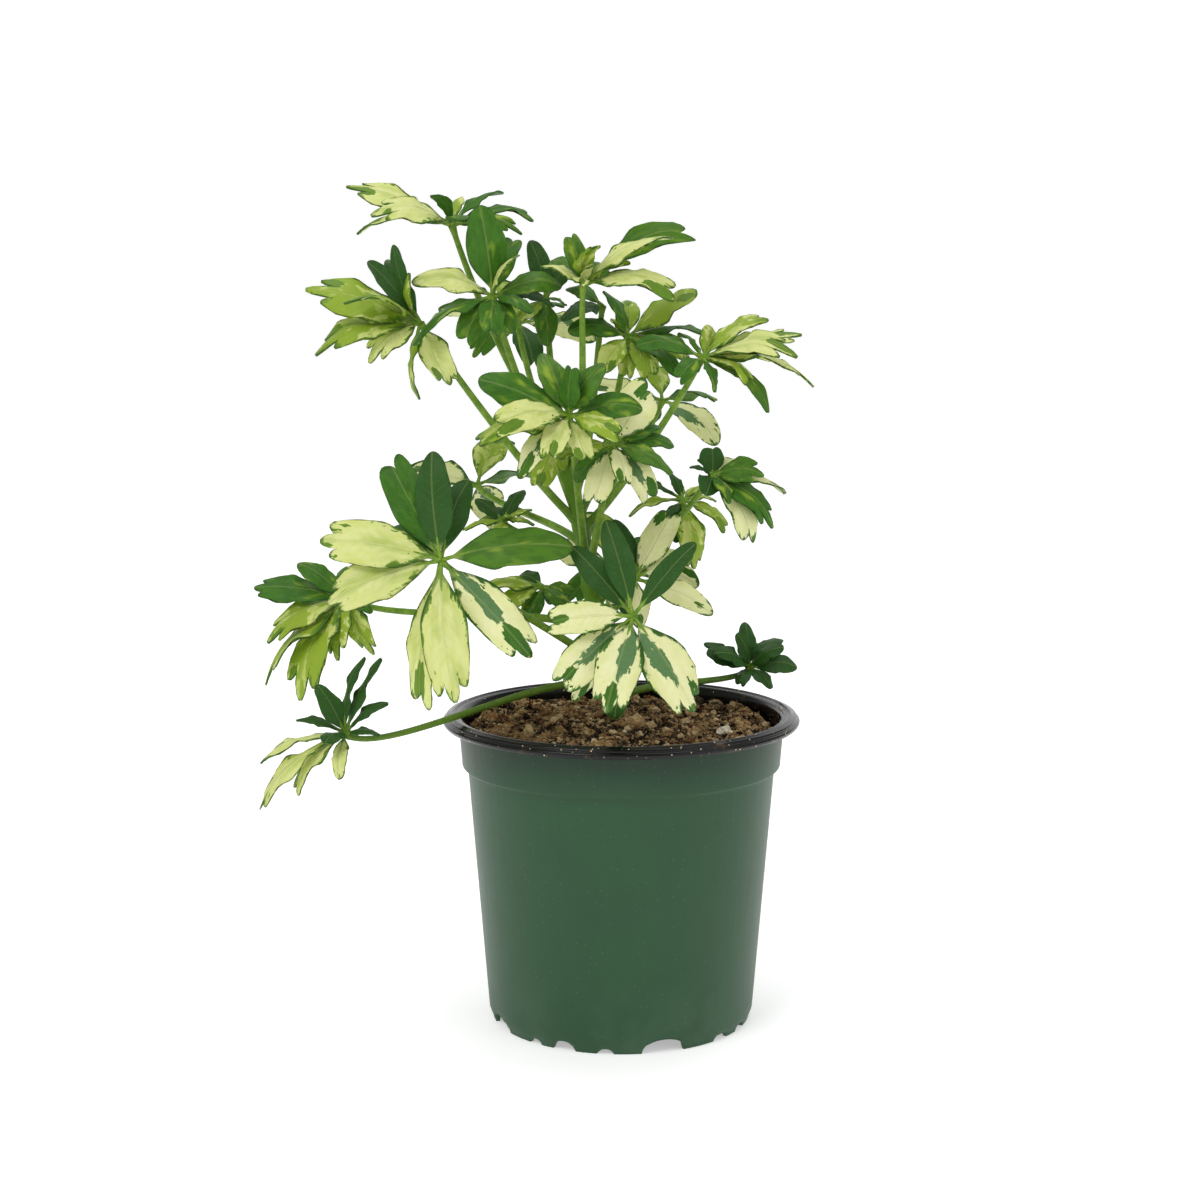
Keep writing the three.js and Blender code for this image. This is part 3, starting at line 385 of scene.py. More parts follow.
def fill_gaps(facing, leaflets, full):
    """The leaf's own leaflets, and more where they leave the widest gaps round its hub."""
    axis = unit(np.array(facing, float))
    first = unit(np.cross((0, 0, 1), axis))
    second = np.cross(axis, first)
    leaflets, clock = list(leaflets), []
    for leaflet in leaflets:
        tip = np.array(leaflet[:3], float)
        length = np.linalg.norm(tip)
        clock.append((math.atan2(tip @ second, tip @ first), tip @ axis / length, length, leaflet[5]))
    while len(clock) < full:
        clock.sort(key=lambda entry: entry[0])
        nexts = clock[1:] + [(clock[0][0] + 2 * math.pi, *clock[0][1:])]
        gaps = [high[0] - low[0] for low, high in zip(clock, nexts)]
        widest = gaps.index(max(gaps))
        low, high = clock[widest], nexts[widest]
        turn = low[0] + gaps[widest] / 2
        length = FILL_LENGTH * (low[2] + high[2]) / 2
        rise = (low[1] + high[1]) / 2
        flat = math.sqrt(1 - rise * rise)
        tip = length * (flat * math.cos(turn) * first + flat * math.sin(turn) * second + rise * axis)
        clock.append((turn - 2 * math.pi if turn > math.pi else turn, rise, length, low[3]))
        leaflets.append((*tip, FILL_WIDTH, 1 + len(leaflets) % 2, low[3]))
    return leaflets


def grow_leaves():
    """Every leaf with its placed leaflets, in the order they claim their room."""
    leaves = []
    for name, hub, facing, root, full, leaflets in LEAVES:
        leaves.append(((name, hub, facing, root), fill_gaps(facing, leaflets, full)))
    for name, hub, facing, root, count, reach in RING_LEAVES:
        leaves.append(((name, hub, facing, root), ring_leaflets(facing, count, reach)))
    stem = np.array([stem_at(z) for z in range(STEM_PATH[0][2], STEM_PATH[-1][2] + 1, 2)])
    taken = [("stem", stem, STEM_FOOT_RADIUS - 2)]
    for (name, hub, facing, root), _ in leaves:
        taken.append((name, petiole_points(hub, facing, root, STALK_SAMPLES), 0))
    grown = []
    for leaf, wanted in leaves:
        placed = [place_leaflet(leaf, one, i, taken) for i, one in enumerate(wanted)]
        grown.append((leaf, [leaflet for leaflet in placed if leaflet is not None]))
    return grown


# ---------------------------------------------------------------- meshes

def mesh_object(name, points, faces, replaced, material, smooth=True):
    """A new piece from points in metres, riding on the one body and standing for its nodes."""
    mesh = bpy.data.meshes.new(name)
    mesh.from_pydata([tuple(p) for p in points], [], faces)
    mesh.update()
    if smooth:
        mesh.shade_smooth()
    mesh.materials.append(material)
    piece = bpy.data.objects.new(name, mesh)
    bpy.context.scene.collection.objects.link(piece)
    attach(piece, "root")
    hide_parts(*replaced)
    return piece


def paint(piece, name, values):
    """A colour attribute with four numbers for each point."""
    layer = piece.data.color_attributes.new(name, "FLOAT_COLOR", "POINT")
    layer.data.foreach_set("color", np.asarray(values, np.float32).ravel())


def angles_round(sides):
    """Even angles round a ring of that many sides."""
    return [2 * math.pi * k / sides for k in range(sides)]


def ring_faces(rings, sides):
    """Four-sided faces between rings of points that follow each other."""
    faces = []
    for ring in range(rings - 1):
        for k in range(sides):
            a, b = ring * sides + k, ring * sides + (k + 1) % sides
            faces.append((a, b, b + sides, a + sides))
    return faces


# A direction that no rod starts in, to turn its first spoke from
OFF_AXIS = (0.31, 0.17, 0.93)


def tube(path, radii, sides):
    """Points and faces of a closed rod along a path, with a radius at each point."""
    path = np.asarray(path, float)
    along = np.gradient(path, axis=0)
    along /= np.linalg.norm(along, axis=1, keepdims=True)
    spoke = unit(np.cross(along[0], OFF_AXIS))
    points = []
    for centre, forward, radius in zip(path, along, radii):
        spoke = unit(spoke - forward * (spoke @ forward))
        other = np.cross(forward, spoke)
        for angle in angles_round(sides):
            points.append(centre + radius * (math.cos(angle) * spoke + math.sin(angle) * other))
    first, last = range(sides), range((len(path) - 1) * sides, len(path) * sides)
    return points, ring_faces(len(path), sides) + [tuple(reversed(first)), tuple(last)]


class Builder:
    """Gathers points, faces and painted values of many small bodies into one piece."""

    def __init__(self):
        self.points, self.faces, self.values = [], [], {}

    def add(self, points, faces, **values):
        start = len(self.points)
        self.points.extend(points)
        self.faces.extend(tuple(start + k for k in face) for face in faces)
        for name, rows in values.items():
            rows = np.asarray(rows, float)
            if rows.ndim == 1:
                rows = np.tile(rows, (len(points), 1))
            self.values.setdefault(name, []).append(rows)

    def piece(self, name, slot, replaced, material, smooth=True):
        points = np.array(self.points) * MM
        made = mesh_object(name, points, self.faces, replaced, material, smooth)
        for key, rows in self.values.items():
            paint(made, key, np.concatenate(rows))
        return made


# ---------------------------------------------------------------- materials

def linear(color):
    """A colour from screen values in 0 to 255 to the shader's own scale, with alpha."""
    def channel(c):
        c /= 255
        return c / 12.92 if c <= 0.04045 else ((c + 0.055) / 1.055) ** 2.4
    return (*[channel(c) for c in color], 1.0)


class Value:
    """One number socket of a material. Arithmetic on it adds Math nodes."""

    def __init__(self, shader, socket):
        self.shader, self.socket = shader, socket

    def math(self, operation, *others):
        node = self.shader.node("ShaderNodeMath", {"operation": operation}, [self, *others])
        return Value(self.shader, node.outputs[0])

    def __add__(self, other):
        return self.math("ADD", other)

    def __radd__(self, other):
        return self.math("ADD", other)

    def __mul__(self, other):
        return self.math("MULTIPLY", other)

    def __rmul__(self, other):
        return self.math("MULTIPLY", other)

    def __sub__(self, other):
        return self.math("SUBTRACT", other)

    def __rsub__(self, other):
        return (self * -1.0) + other

    def __truediv__(self, other):
        return self.math("DIVIDE", other)

    def __abs__(self):
        return self.math("ABSOLUTE")

    def sine(self):
        return self.math("SINE")

    def largest(self, other):
        return self.math("MAXIMUM", other)

    def between(self, low, high):
        """0 at or below low, 1 at or above high, smooth in between."""
        settings = {"interpolation_type": "SMOOTHSTEP"}
        node = self.shader.node("ShaderNodeMapRange", settings, [self, low, high])
        return Value(self.shader, node.outputs[0])


class Shader:
    """One material and the nodes in it."""

    def __init__(self, name):
        self.material = bpy.data.materials.new(name)
        self.material.use_nodes = True
        self.tree = self.material.node_tree
        self.surface = self.tree.nodes["Principled BSDF"]

    def node(self, kind, settings=None, inputs=()):
        """A node of any kind: its settings first, then values or links for its sockets."""
        node = self.tree.nodes.new(kind)
        for key, setting in (settings or {}).items():
            setattr(node, key, setting)
        pairs = inputs.items() if isinstance(inputs, dict) else enumerate(inputs)
        for key, value in pairs:
            if isinstance(value, Value):
                value = value.socket
            if isinstance(value, bpy.types.NodeSocket):
                self.tree.links.new(value, node.inputs[key])
            else:
                node.inputs[key].default_value = value
        return node

    def place(self):
        """The point of the surface in millimetres."""
        where = self.node("ShaderNodeTexCoord").outputs["Object"]
        scaled = self.node("ShaderNodeVectorMath", {"operation": "SCALE"}, {0: where, "Scale": 1000.0})
        return scaled.outputs[0]

    def height(self, where):
        """How high a place lies."""
        return Value(self, self.node("ShaderNodeSeparateXYZ", inputs=[where]).outputs[2])

    def stretched(self, where, x, y, z):
        """A place scaled by its own factor along each axis."""
        inputs = {0: where, 1: (x, y, z)}
        return self.node("ShaderNodeVectorMath", {"operation": "MULTIPLY"}, inputs).outputs[0]

    def painted(self, name):
        """The four painted numbers of that name."""
        node = self.node("ShaderNodeAttribute", {"attribute_name": name})
        split = self.node("ShaderNodeSeparateColor", inputs=[node.outputs["Color"]])
        return [Value(self, split.outputs[k]) for k in range(3)] + [Value(self, node.outputs["Alpha"])]

    def vector(self, x, y, z):
        return self.node("ShaderNodeCombineXYZ", inputs=[x, y, z]).outputs[0]

    def noise(self, where, scale, detail=3.0, roughness=0.55):
        inputs = {"Vector": where, "Scale": scale, "Detail": detail, "Roughness": roughness}
        return Value(self, self.node("ShaderNodeTexNoise", inputs=inputs).outputs[0])

    def dots(self, where, scale, inner, outer):
        """1 in small round dots strewn over the surface, and 0 beyond them."""
        cells = self.node("ShaderNodeTexVoronoi", inputs={"Vector": where, "Scale": scale})
        return 1.0 - Value(self, cells.outputs["Distance"]).between(inner, outer)

    def mix(self, share, first, second):
        """The first colour where share is 0 and the second where it is 1."""
        inputs = {0: share, 6: first, 7: second}
        return self.node("ShaderNodeMix", {"data_type": "RGBA"}, inputs).outputs[2]

    def finish(self, color, roughness, height=None, relief=0.0001, **fixed):
        """Colour, roughness and relief on the surface, and what is the same all over it."""
        self.tree.links.new(color, self.surface.inputs["Base Color"])
        if isinstance(roughness, Value):
            self.tree.links.new(roughness.socket, self.surface.inputs["Roughness"])
        else:
            self.surface.inputs["Roughness"].default_value = roughness
        if height is not None:
            inputs = {"Height": height, "Distance": relief, "Strength": 1.0}
            bump = self.node("ShaderNodeBump", inputs=inputs)
            self.tree.links.new(bump.outputs[0], self.surface.inputs["Normal"])
        for name, value in fixed.items():
            self.surface.inputs[name.replace("_", " ")].default_value = value
        return self.material


def ragged_patch(aside, upward, ragged, wider, reach):
    """1 in a round patch with a torn edge, about the place where aside and upward are 0."""
    distance = aside * aside + upward * upward - (ragged - 0.5) * 2.4 - wider
    return 1.0 - (distance - reach).between(-0.08, 0.08)


def leaf_material(colors):
    """Variegated blade: cream fields, green margins, streaks along the veins and a grooved midrib."""
    leaf = Shader("variegated_leaf")
    across, along, edge, seed = leaf.painted("spot")
    cream, middle, yellow, dark = leaf.painted("tone")
    out = abs(across)
    half = across.between(-0.02, 0.02)
    vein = along - out * 0.16
    drift = leaf.noise(leaf.vector(along * 3.0, across * 1.5, seed * 7.0), 2.0, 2.0)
    streak_place = leaf.vector(vein * 6.0, out * 1.3, seed * 23.0 + half * 3.0)
    streak = leaf.noise(streak_place, 1.0, 3.0, 0.6)
    blotch = leaf.noise(leaf.vector(vein * 2.6 + 9.0, out * 1.1, seed * 31.0 + half * 5.0), 1.0, 2.0)
    ragged = leaf.noise(leaf.vector(along * 4.2, across * 2.2, seed * 13.0), 1.6, 3.0, 0.6)
    fine = leaf.noise(leaf.vector(along * 30.0, across * 9.0, seed * 5.0), 1.5, 3.0)

    margin = 1.0 - (edge - (ragged - 0.48) * 0.55).between(0.0, 0.055)
    field = (streak * 0.45 + blotch * 0.75 + cream * 0.95 - 0.98).between(-0.03, 0.03)
    islands = leaf.noise(leaf.vector(along * 9.0, across * 3.0, seed * 17.0), 1.3, 2.0)
    margin = margin.largest((islands - edge * 0.5).between(0.58, 0.61))
    aside = (across - (seed * 71.0).sine() * 0.5) / 0.34
    upward = (along - 0.84) / 0.14
    margin = margin.largest(ragged_patch(aside, upward, ragged, (seed * 53.0).sine() * 0.7, 0.5))
    aside = (across - (seed * 40.0).sine() * 0.3) / 0.4
    upward = (along - 0.45 - (drift - 0.5) * 0.5) / 0.26
    centre = ragged_patch(aside, upward, ragged, (streak - 0.5) * 1.5, 0.9) * middle.between(0.15, 0.7)
    creamy = field * (1.0 - margin) * (1.0 - centre)

    deep = leaf.mix(dark.between(0.0, 1.0), colors["green"], colors["dark"])
    deep = leaf.mix((fine - 0.3) * 0.5, deep, colors["green"])
    own = (seed * 97.0).sine().between(-0.2, 1.0) * (1.0 - dark)
    deep = leaf.mix(own * 0.16, deep, colors["lime"])
    deep = leaf.mix(drift.between(0.42, 0.62) * 0.4, deep, colors["dark"])
    grey = leaf.mix(fine.between(0.3, 0.7) * 0.45, colors["grey"], colors["green"])
    green = leaf.mix(centre * cream.between(0.3, 0.6), deep, grey)
    lime_share = (blotch * 0.8 + yellow * 0.95 - 0.88).between(-0.06, 0.1)
    green = leaf.mix(lime_share * (1.0 - margin * 0.7), green, colors["lime"])
    buttery = (drift - 0.2).between(0.1, 0.6) * 0.35 + yellow * 0.75
    pale = leaf.mix(buttery, colors["cream"], colors["butter"])
    pale = leaf.mix(out.between(0.4, 1.0) * 0.3, pale, colors["butter"])
    stained = yellow.between(0.3, 0.8) * blotch.between(0.45, 0.62) * (1.0 - out.between(0.2, 0.9))
    pale = leaf.mix(stained * 0.45, pale, colors["lime"])
    surface = leaf.mix(creamy, green, pale)
    rim = (1.0 - edge.between(0.0, 0.035)) * creamy.largest(margin)
    surface = leaf.mix(rim * 0.75, surface, colors["dark"])

    lateral = abs(((vein + drift * 0.08) * 38.0).sine())
    vein_line = (1.0 - lateral.between(0.0, 0.4)) * (1.0 - out.between(0.45, 0.95))
    midrib = 1.0 - out.between(0.015, 0.085)
    surface = leaf.mix(vein_line * 0.03, surface, colors["vein"])
    surface = leaf.mix(midrib * 0.15, surface, colors["vein"])
    foot = 1.0 - along.between(0.1, 0.2)
    surface = leaf.mix(foot * 0.6, surface, colors["vein"])

    height = 0.5 - vein_line * 0.2 - midrib * 0.5 + fine * 0.16 + streak * 0.1
    rough = 0.4 + fine * 0.16 + vein_line * 0.05
    return leaf.finish(
        surface, rough, height, 0.00035, Specular_IOR_Level=0.2,
        Subsurface_Weight=0.12, Subsurface_Radius=(0.001, 0.0016, 0.0004), Subsurface_Scale=1.0)


def stalk_material(colors):
    """Light green stalk, darker at its foot, darker low on the plant with painted shade, and with small pale
    pores.
    """
    stalk = Shader("leaf_stalk")
    along = stalk.painted("spot")[0]
    where = stalk.place()
    mottle = stalk.noise(where, 0.35, 4.0)
    pores = stalk.dots(where, 0.9, 0.08, 0.2)
    color = stalk.mix(mottle.between(0.3, 0.7), colors["stalk"], colors["stalk_pale"])
    color = stalk.mix((1.0 - along.between(0.0, 0.35)) * 0.6, color, colors["stalk_foot"])
    # Darker low on the plant, in the stalk foot's colour: painted shade under the leaves.
    low = 1.0 - stalk.height(where).between(98.0, 145.0)
    color = stalk.mix(low * 0.75, color, colors["stalk_foot"])
    color = stalk.mix(pores * 0.35, color, colors["cream"])
    height = mottle * 0.6 + pores * 0.3
    return stalk.finish(color, 0.38 + mottle * 0.18, height, 0.0002, Specular_IOR_Level=0.3)


def stem_material(colors):
    """Green young bark that turns brown and cracked towards the soil, with pale pores."""
    stem = Shader("stem_bark")
    where = stem.place()
    rough_noise = stem.noise(where, 0.5, 5.0, 0.65)
    cracks = stem.noise(stem.stretched(where, 1.6, 1.6, 0.25), 1.0, 4.0, 0.6)
    young = (stem.height(where) + rough_noise * 30.0).between(108.0, 148.0)
    color = stem.mix(rough_noise.between(0.3, 0.7), colors["bark"], colors["bark_pale"])
    color = stem.mix(young, color, colors["stalk"])
    color = stem.mix(cracks.between(0.5, 0.7) * (1.0 - young) * 0.6, color, colors["bark_dark"])
    pores = stem.dots(where, 0.55, 0.1, 0.22)
    color = stem.mix(pores * 0.5, color, colors["bark_pale"])
    relief = cracks * 0.8 + pores * 0.3
    return stem.finish(color, 0.55 + rough_noise * 0.2, relief, 0.0005, Specular_IOR_Level=0.25)


def pot_green_material(colors):
    """Moulded green sheet: satin, faintly speckled and streaked, darker at its collar with painted shade
    under the lip, dusty at its foot.
    """
    pot = Shader("pot_green_plastic")
    where = pot.place()
    height = pot.height(where)
    cloud = pot.noise(where, 0.05, 3.0)
    grain = pot.noise(where, 2.6, 3.0, 0.7)
    specks = pot.dots(where, 0.42, 0.05, 0.11)
    streaks = pot.noise(pot.stretched(where, 0.9, 0.9, 0.03), 0.7, 3.0)
    dust = (1.0 - height.between(0.0, 26.0)) * cloud.between(0.4, 0.62)
    # Cloudy tone of the green, with less of it on the collar: painted shade under the lip.
    cloud_tone_and_collar_shade = 0.55 + (cloud - 0.5) * 0.5 - height.between(78.0, 96.0) * 0.45
    color = pot.mix(cloud_tone_and_collar_shade, colors["pot"], colors["pot_light"])
    color = pot.mix(streaks.between(0.45, 0.75) * 0.15, color, colors["pot_light"])
    color = pot.mix(grain.between(0.3, 0.8) * 0.12, color, colors["pot"])
    # Lip black mixed into the collar: painted shadow under the lip.
    color = pot.mix(height.between(79.0, 96.0) * 0.4, color, colors["lip"])
    color = pot.mix(specks * 0.3 + dust * 0.12, color, colors["dust"])
    rough = 0.38 + grain * 0.12 + dust * 0.1 - streaks * 0.06
    return pot.finish(color, rough, grain * 0.35 + streaks * 0.5, 0.00008, Specular_IOR_Level=0.35)


def pot_black_material(colors):
    """The black lip and inside of the sheet: shinier, with a fine grain and specks of soil."""
    pot = Shader("pot_black_plastic")
    where = pot.place()
    grain = pot.noise(where, 2.2, 3.0, 0.7)
    smear = pot.noise(where, 0.12, 4.0, 0.6)
    dirt = smear.between(0.58, 0.78) * grain.between(0.35, 0.6)
    specks = pot.dots(where, 0.55, 0.1, 0.17) * smear.between(0.42, 0.5)
    color = pot.mix(grain.between(0.3, 0.7), colors["lip"], colors["lip_light"])
    color = pot.mix(dirt * 0.25, color, colors["soil"])
    color = pot.mix(specks, color, colors["soil_tan"])
    rough = 0.14 + grain * 0.1 + dirt * 0.3 + specks * 0.5
    return pot.finish(
        color, rough, grain * 0.2 + dirt * 0.3 + specks, 0.00012, Specular_IOR_Level=0.28)


def soil_material(name, colors):
    """Peat mix: dark and reddish fibres, pale dust with painted highlights, rough all over, and painted
    shade in its hollows. Painted values tint each crumb and carry that shade.
    """
    soil = Shader(name)
    tint, pale, _, seed = soil.painted("spot")
    where = soil.place()
    coarse = soil.noise(where, 0.22, 5.0, 0.65)
    fine = soil.noise(where, 1.4, 5.0, 0.7)
    fibre = soil.noise(soil.stretched(where, 2.6, 0.5, 1.0), 0.9, 3.0, 0.6)
    grit = soil.noise(where, 0.75, 4.0, 0.75)
    # How light the mix is, from noise and the painted tint. Its dark end is painted shade in the hollows.
    tone_and_hollow_shade = (coarse * 2.0 + grit * 1.8 + tint * 1.2 - 2.35).between(0.0, 0.6)
    color = soil.mix(tone_and_hollow_shade, colors["soil_dark"], colors["soil"])
    reddish = fibre.between(0.5, 0.7) * 0.5 + seed.between(0.7, 0.8) * 0.5
    color = soil.mix(reddish, color, colors["soil_red"])
    specks = soil.dots(where, 0.5, 0.12, 0.26) * coarse.between(0.45, 0.55)
    # Tan specks, and fine pale flecks that are partly tan dust and partly painted highlights on the grains.
    color = soil.mix(specks * 0.9 + fine.between(0.57, 0.66) * 0.6, color, colors["soil_tan"])
    color = soil.mix(pale.between(0.0, 0.5) * (0.5 + fine * 0.8), color, colors["soil_tan"])
    color = soil.mix(pale.between(0.5, 0.9), color, colors["perlite"])
    relief = fine * 1.2 + fibre * 0.6
    return soil.finish(color, 0.85 + fine * 0.1, relief, 0.0009, Specular_IOR_Level=0.15)


# ---------------------------------------------------------------- settings

def size(name, about, default):
    return FloatProperty(
        name=name, description=about, default=default, unit="LENGTH", min=0.0, precision=5)


def tint(name, about, screen):
    return FloatVectorProperty(
        name=name, description=about, default=linear(screen), size=4, subtype="COLOR", min=0.0, max=1.0)


class PlantSizes(bpy.types.PropertyGroup):
    """Sizes a maker would change."""

    blade: size("Blade thickness", "Thickness of a leaflet at its midrib", 0.0007)
    blade_edge: size("Blade edge", "Thickness of a leaflet at its edge", 0.00035)
    stalk_foot: size("Stalk foot radius", "Radius of a leaf's stalk where it leaves the stem", 0.0014)
    stalk_tip: size("Stalk tip radius", "Radius of a leaf's stalk at its hub", 0.00085)
    stalklet: size("Leaflet stalk radius", "Radius of the small stalk under each leaflet", 0.0006)
    wall: size("Pot wall", "Thickness of the pot's moulded sheet", 0.0012)
    crumb: size("Crumb radius", "Middle radius of the crumbs on the soil", 0.0011)
    crumbs: IntProperty(name="Crumbs", description="Number of crumbs on the soil", default=2600, min=0)
    fibres: IntProperty(name="Fibres", description="Number of fibres on the soil", default=260, min=0)


class PlantColors(bpy.types.PropertyGroup):
    """Colours of the plant, its soil and its pot."""

    cream: tint("Cream", "Palest fields of the leaves", (238, 238, 186))
    butter: tint("Butter", "Yellower cream fields", (206, 216, 118))
    lime: tint("Lime", "Yellow-green fields", (146, 172, 52))
    green: tint("Green", "Middle green of the leaves", (70, 122, 26))
    dark: tint("Dark green", "Darkest green of the leaves", (40, 80, 28))
    grey: tint("Grey green", "Patches in the middle of cream leaflets", (98, 130, 88))
    vein: tint("Vein", "Midribs and side veins", (186, 204, 122))
    stalk: tint("Stalk", "Leaf stalks", (92, 134, 30))
    stalk_pale: tint("Pale stalk", "Lighter parts of the stalks", (130, 162, 54))
    # The stalk foot's colour also paints the shade on stalks low on the plant.
    stalk_foot: tint("Stalk foot", "Feet of the stalks", (80, 114, 26))
    bark: tint("Bark", "Old bark near the soil", (112, 100, 58))
    bark_pale: tint("Pale bark", "Pores and ridges of the bark", (150, 142, 92))
    bark_dark: tint("Dark bark", "Cracks in the bark", (62, 52, 36))
    pot: tint("Pot", "Green of the pot", (24, 64, 36))
    pot_light: tint("Pot highlight", "Lighter streaks of the pot", (38, 82, 48))
    dust: tint("Dust", "Dust and specks on the pot", (112, 136, 114))
    lip: tint("Lip", "Black of the lip and inside", (5, 6, 5))
    lip_light: tint("Lip wear", "Worn black of the lip", (16, 18, 16))
    soil: tint("Soil", "Peat mix", (186, 150, 102))
    # Dark peat, which also stands for painted shade in the hollows of the mix.
    soil_dark: tint("Dark soil", "Hollows of the peat mix", (14, 9, 6))
    soil_red: tint("Red soil", "Bark fibres in the mix", (150, 98, 62))
    soil_tan: tint("Tan soil", "Pale dust in the mix", (240, 212, 164))
    perlite: tint("Perlite", "White grains in the mix", (252, 242, 220))


def sizes():
    return bpy.context.scene.plant_sizes


def colors():
    """The plant's colours by name."""
    group = bpy.context.scene.plant_colors
    return {name: tuple(getattr(group, name)) for name in PlantColors.__annotations__}


# ---------------------------------------------------------------- leaves

BLADE_START = 0.1
BLADE_ROWS = 20
LOBE_COLUMNS = {1: 16, 2: 9, 3: 7, 4: 7}
BLADE_TIP_EDGE = 1.4
# Two ruffles of a blade's edge: their height, their waves along it, how much of the shift between sides
# and leaflets they take, and how steeply they grow towards the edge
RUFFLES = ((0.016, 19, 1, 2), (0.009, 37, 2, 3))
SIDE_SHIFT, LEAFLET_SHIFT = 2.1, 2.6
# Steps of the number that makes each blade's colouring its own, from leaf to leaf and leaflet to leaflet
LEAF_STEP, LEAFLET_STEP = 0.381, 0.177
STALK_RINGS = 33
STALK_SIDES = 12
# Swellings of a stalk at its foot and at its hub: height in millimetres, and width as a share of the stalk
FOOT_SWELLING, HUB_SWELLING = (0.9, 0.06), (0.5, 0.04)
STALKLET_REACH = 0.24
STALKLET_RINGS = 7
STALKLET_SIDES = 8
STALKLET_TAPER = (1.25, 0.6)


def blade_grid(leaflet):
    """Places over the blade: rows along it, and columns across it that crowd at the lobes' edges."""
    edges = sorted(leaflet.mirror * edge for edge in LOBES[leaflet.lobes][0])
    columns = LOBE_COLUMNS[leaflet.lobes]
    t = [-1.0]
    for low, high in zip(edges[:-1], edges[1:]):
        for k in range(1, columns + 1):
            t.append((low + high) / 2 - (high - low) / 2 * math.cos(math.pi * k / columns))
    u = np.linspace(BLADE_START, 1, BLADE_ROWS)
    return u[:, None], np.array(t)[None, :]


def add_blade(builder, leaflet, thick, thin, seed):
    """A blade with an upper and a lower face, joined by a thin rim along its edge."""
    u, t = blade_grid(leaflet)
    points, normals, s = leaflet.at(u, t)
    breadth = breadth_at(u, leaflet.lobes)
    shift = SIDE_SHIFT * np.sign(t) + LEAFLET_SHIFT * leaflet.index
    out = np.abs(t) * breadth
    ruffle = sum(
        high * np.sin(waves * s + share * shift) * out ** growth for high, waves, share, growth in RUFFLES)
    points = points + (leaflet.length * ruffle)[..., None] * normals
    half = (thin + (thick - thin) * (1 - np.abs(t)) * np.ones_like(u))[..., None] / 2
    rows, columns = s.shape
    edge = np.minimum((1 - np.abs(t)) * breadth, (1 - u) * BLADE_TIP_EDGE * np.ones_like(t))
    spot = np.stack([t * breadth + 0 * s, s, edge, np.full_like(s, seed)], -1).reshape(-1, 4)
    upper = (points + half * normals).reshape(-1, 3)
    lower = (points - half * normals).reshape(-1, 3)
    under = rows * columns
    faces = []
    for i in range(rows - 1):
        for k in range(columns - 1):
            a, d = i * columns + k, (i + 1) * columns + k
            faces += [(a, a + 1, d + 1, d), (under + a, under + d, under + d + 1, under + a + 1)]
    rim = list(range(columns))
    rim += [i * columns + columns - 1 for i in range(1, rows)]
    rim += [(rows - 1) * columns + k for k in range(columns - 2, -1, -1)]
    rim += [i * columns for i in range(rows - 2, 0, -1)]
    for a, b in zip(rim, rim[1:] + rim[:1]):
        faces.append((b, a, under + a, under + b))
    tone = np.tile(TONES[leaflet.tone], (2 * under, 1))
    builder.add(np.concatenate([upper, lower]), faces, spot=np.concatenate([spot, spot]), tone=tone)


def add_stalk(builder, leaf, leaflets):
    """The leaf's stalk, the knob at its hub and the small stalk under each leaflet."""
    _, hub, facing, root = leaf
    foot, tip, small = (getattr(sizes(), key) / MM for key in ("stalk_foot", "stalk_tip", "stalklet"))
    s = np.linspace(0, 1, STALK_RINGS)
    swellings = (s, *FOOT_SWELLING), (1 - s, *HUB_SWELLING)
    radii = foot + (tip - foot) * s + sum(high * np.exp(-(off / wide) ** 2) for off, high, wide in swellings)
    points, faces = tube(petiole_points(hub, facing, root, STALK_RINGS), radii, STALK_SIDES)
    spot = np.zeros((len(points), 4))
    spot[:, 0] = np.repeat(s, STALK_SIDES)
    builder.add(points, faces, spot=spot)
    u = np.linspace(0, STALKLET_REACH, STALKLET_RINGS)
    radii = small * np.linspace(*STALKLET_TAPER, STALKLET_RINGS)
    for leaflet in leaflets:
        path, _, _ = leaflet.at(u, np.zeros_like(u))
        builder.add(*tube(path, radii, STALKLET_SIDES), spot=(1.0, 0.0, 0.0, 0.0))


class PLANT_OT_leaves(bpy.types.Operator):
    """Grow every leaf: its blades and its stalks, in place of its coarse solid"""

    bl_idname = "plant.leaves"
    bl_label = "Leaves"

    def execute(self, context):
        blade_finish, stalk_finish = leaf_material(colors()), stalk_material(colors())
        thick, thin = sizes().blade / MM, sizes().blade_edge / MM
        for number, (leaf, leaflets) in enumerate(grow_leaves()):
            blades, stalks = Builder(), Builder()
            for leaflet in leaflets:
                seed = (LEAF_STEP * number + LEAFLET_STEP * leaflet.index) % 1
                add_blade(blades, leaflet, thick, thin, seed)
            add_stalk(stalks, leaf, leaflets)
            node = "leaf_" + leaf[0]
            blades.piece("blades_" + leaf[0], "leaf_blade", [node], blade_finish)
            stalks.piece("stalks_" + leaf[0], "leaf_blade", [node], stalk_finish)
        return {"FINISHED"}


# ---------------------------------------------------------------- stem

STEM_RINGS = 150
STEM_SIDES = 28
# Rings on the stem, at each leaf's foot and where older leaves have fallen: height and width in millimetres
LEAF_RING, SCAR_RING = (0.45, 1.3), (0.35, 0.6)
SCARS = range(99, 116, 4)
STEM_END = (0.95, 0.85, 0.6, 0.25)
SMOOTHING = 15


def smooth_path(path, heights):
    """The stem's middle at each height, without corners."""
    weights = np.hanning(SMOOTHING) / np.hanning(SMOOTHING).sum()
    out = np.empty((len(heights), 3))
    for k in range(3):
        straight = np.interp(heights, path[:, 2], path[:, k])
        padded = np.pad(straight, SMOOTHING // 2, mode="reflect", reflect_type="odd")
        out[:, k] = np.convolve(padded, weights, mode="valid")
    out[:, 2] = heights
    return out


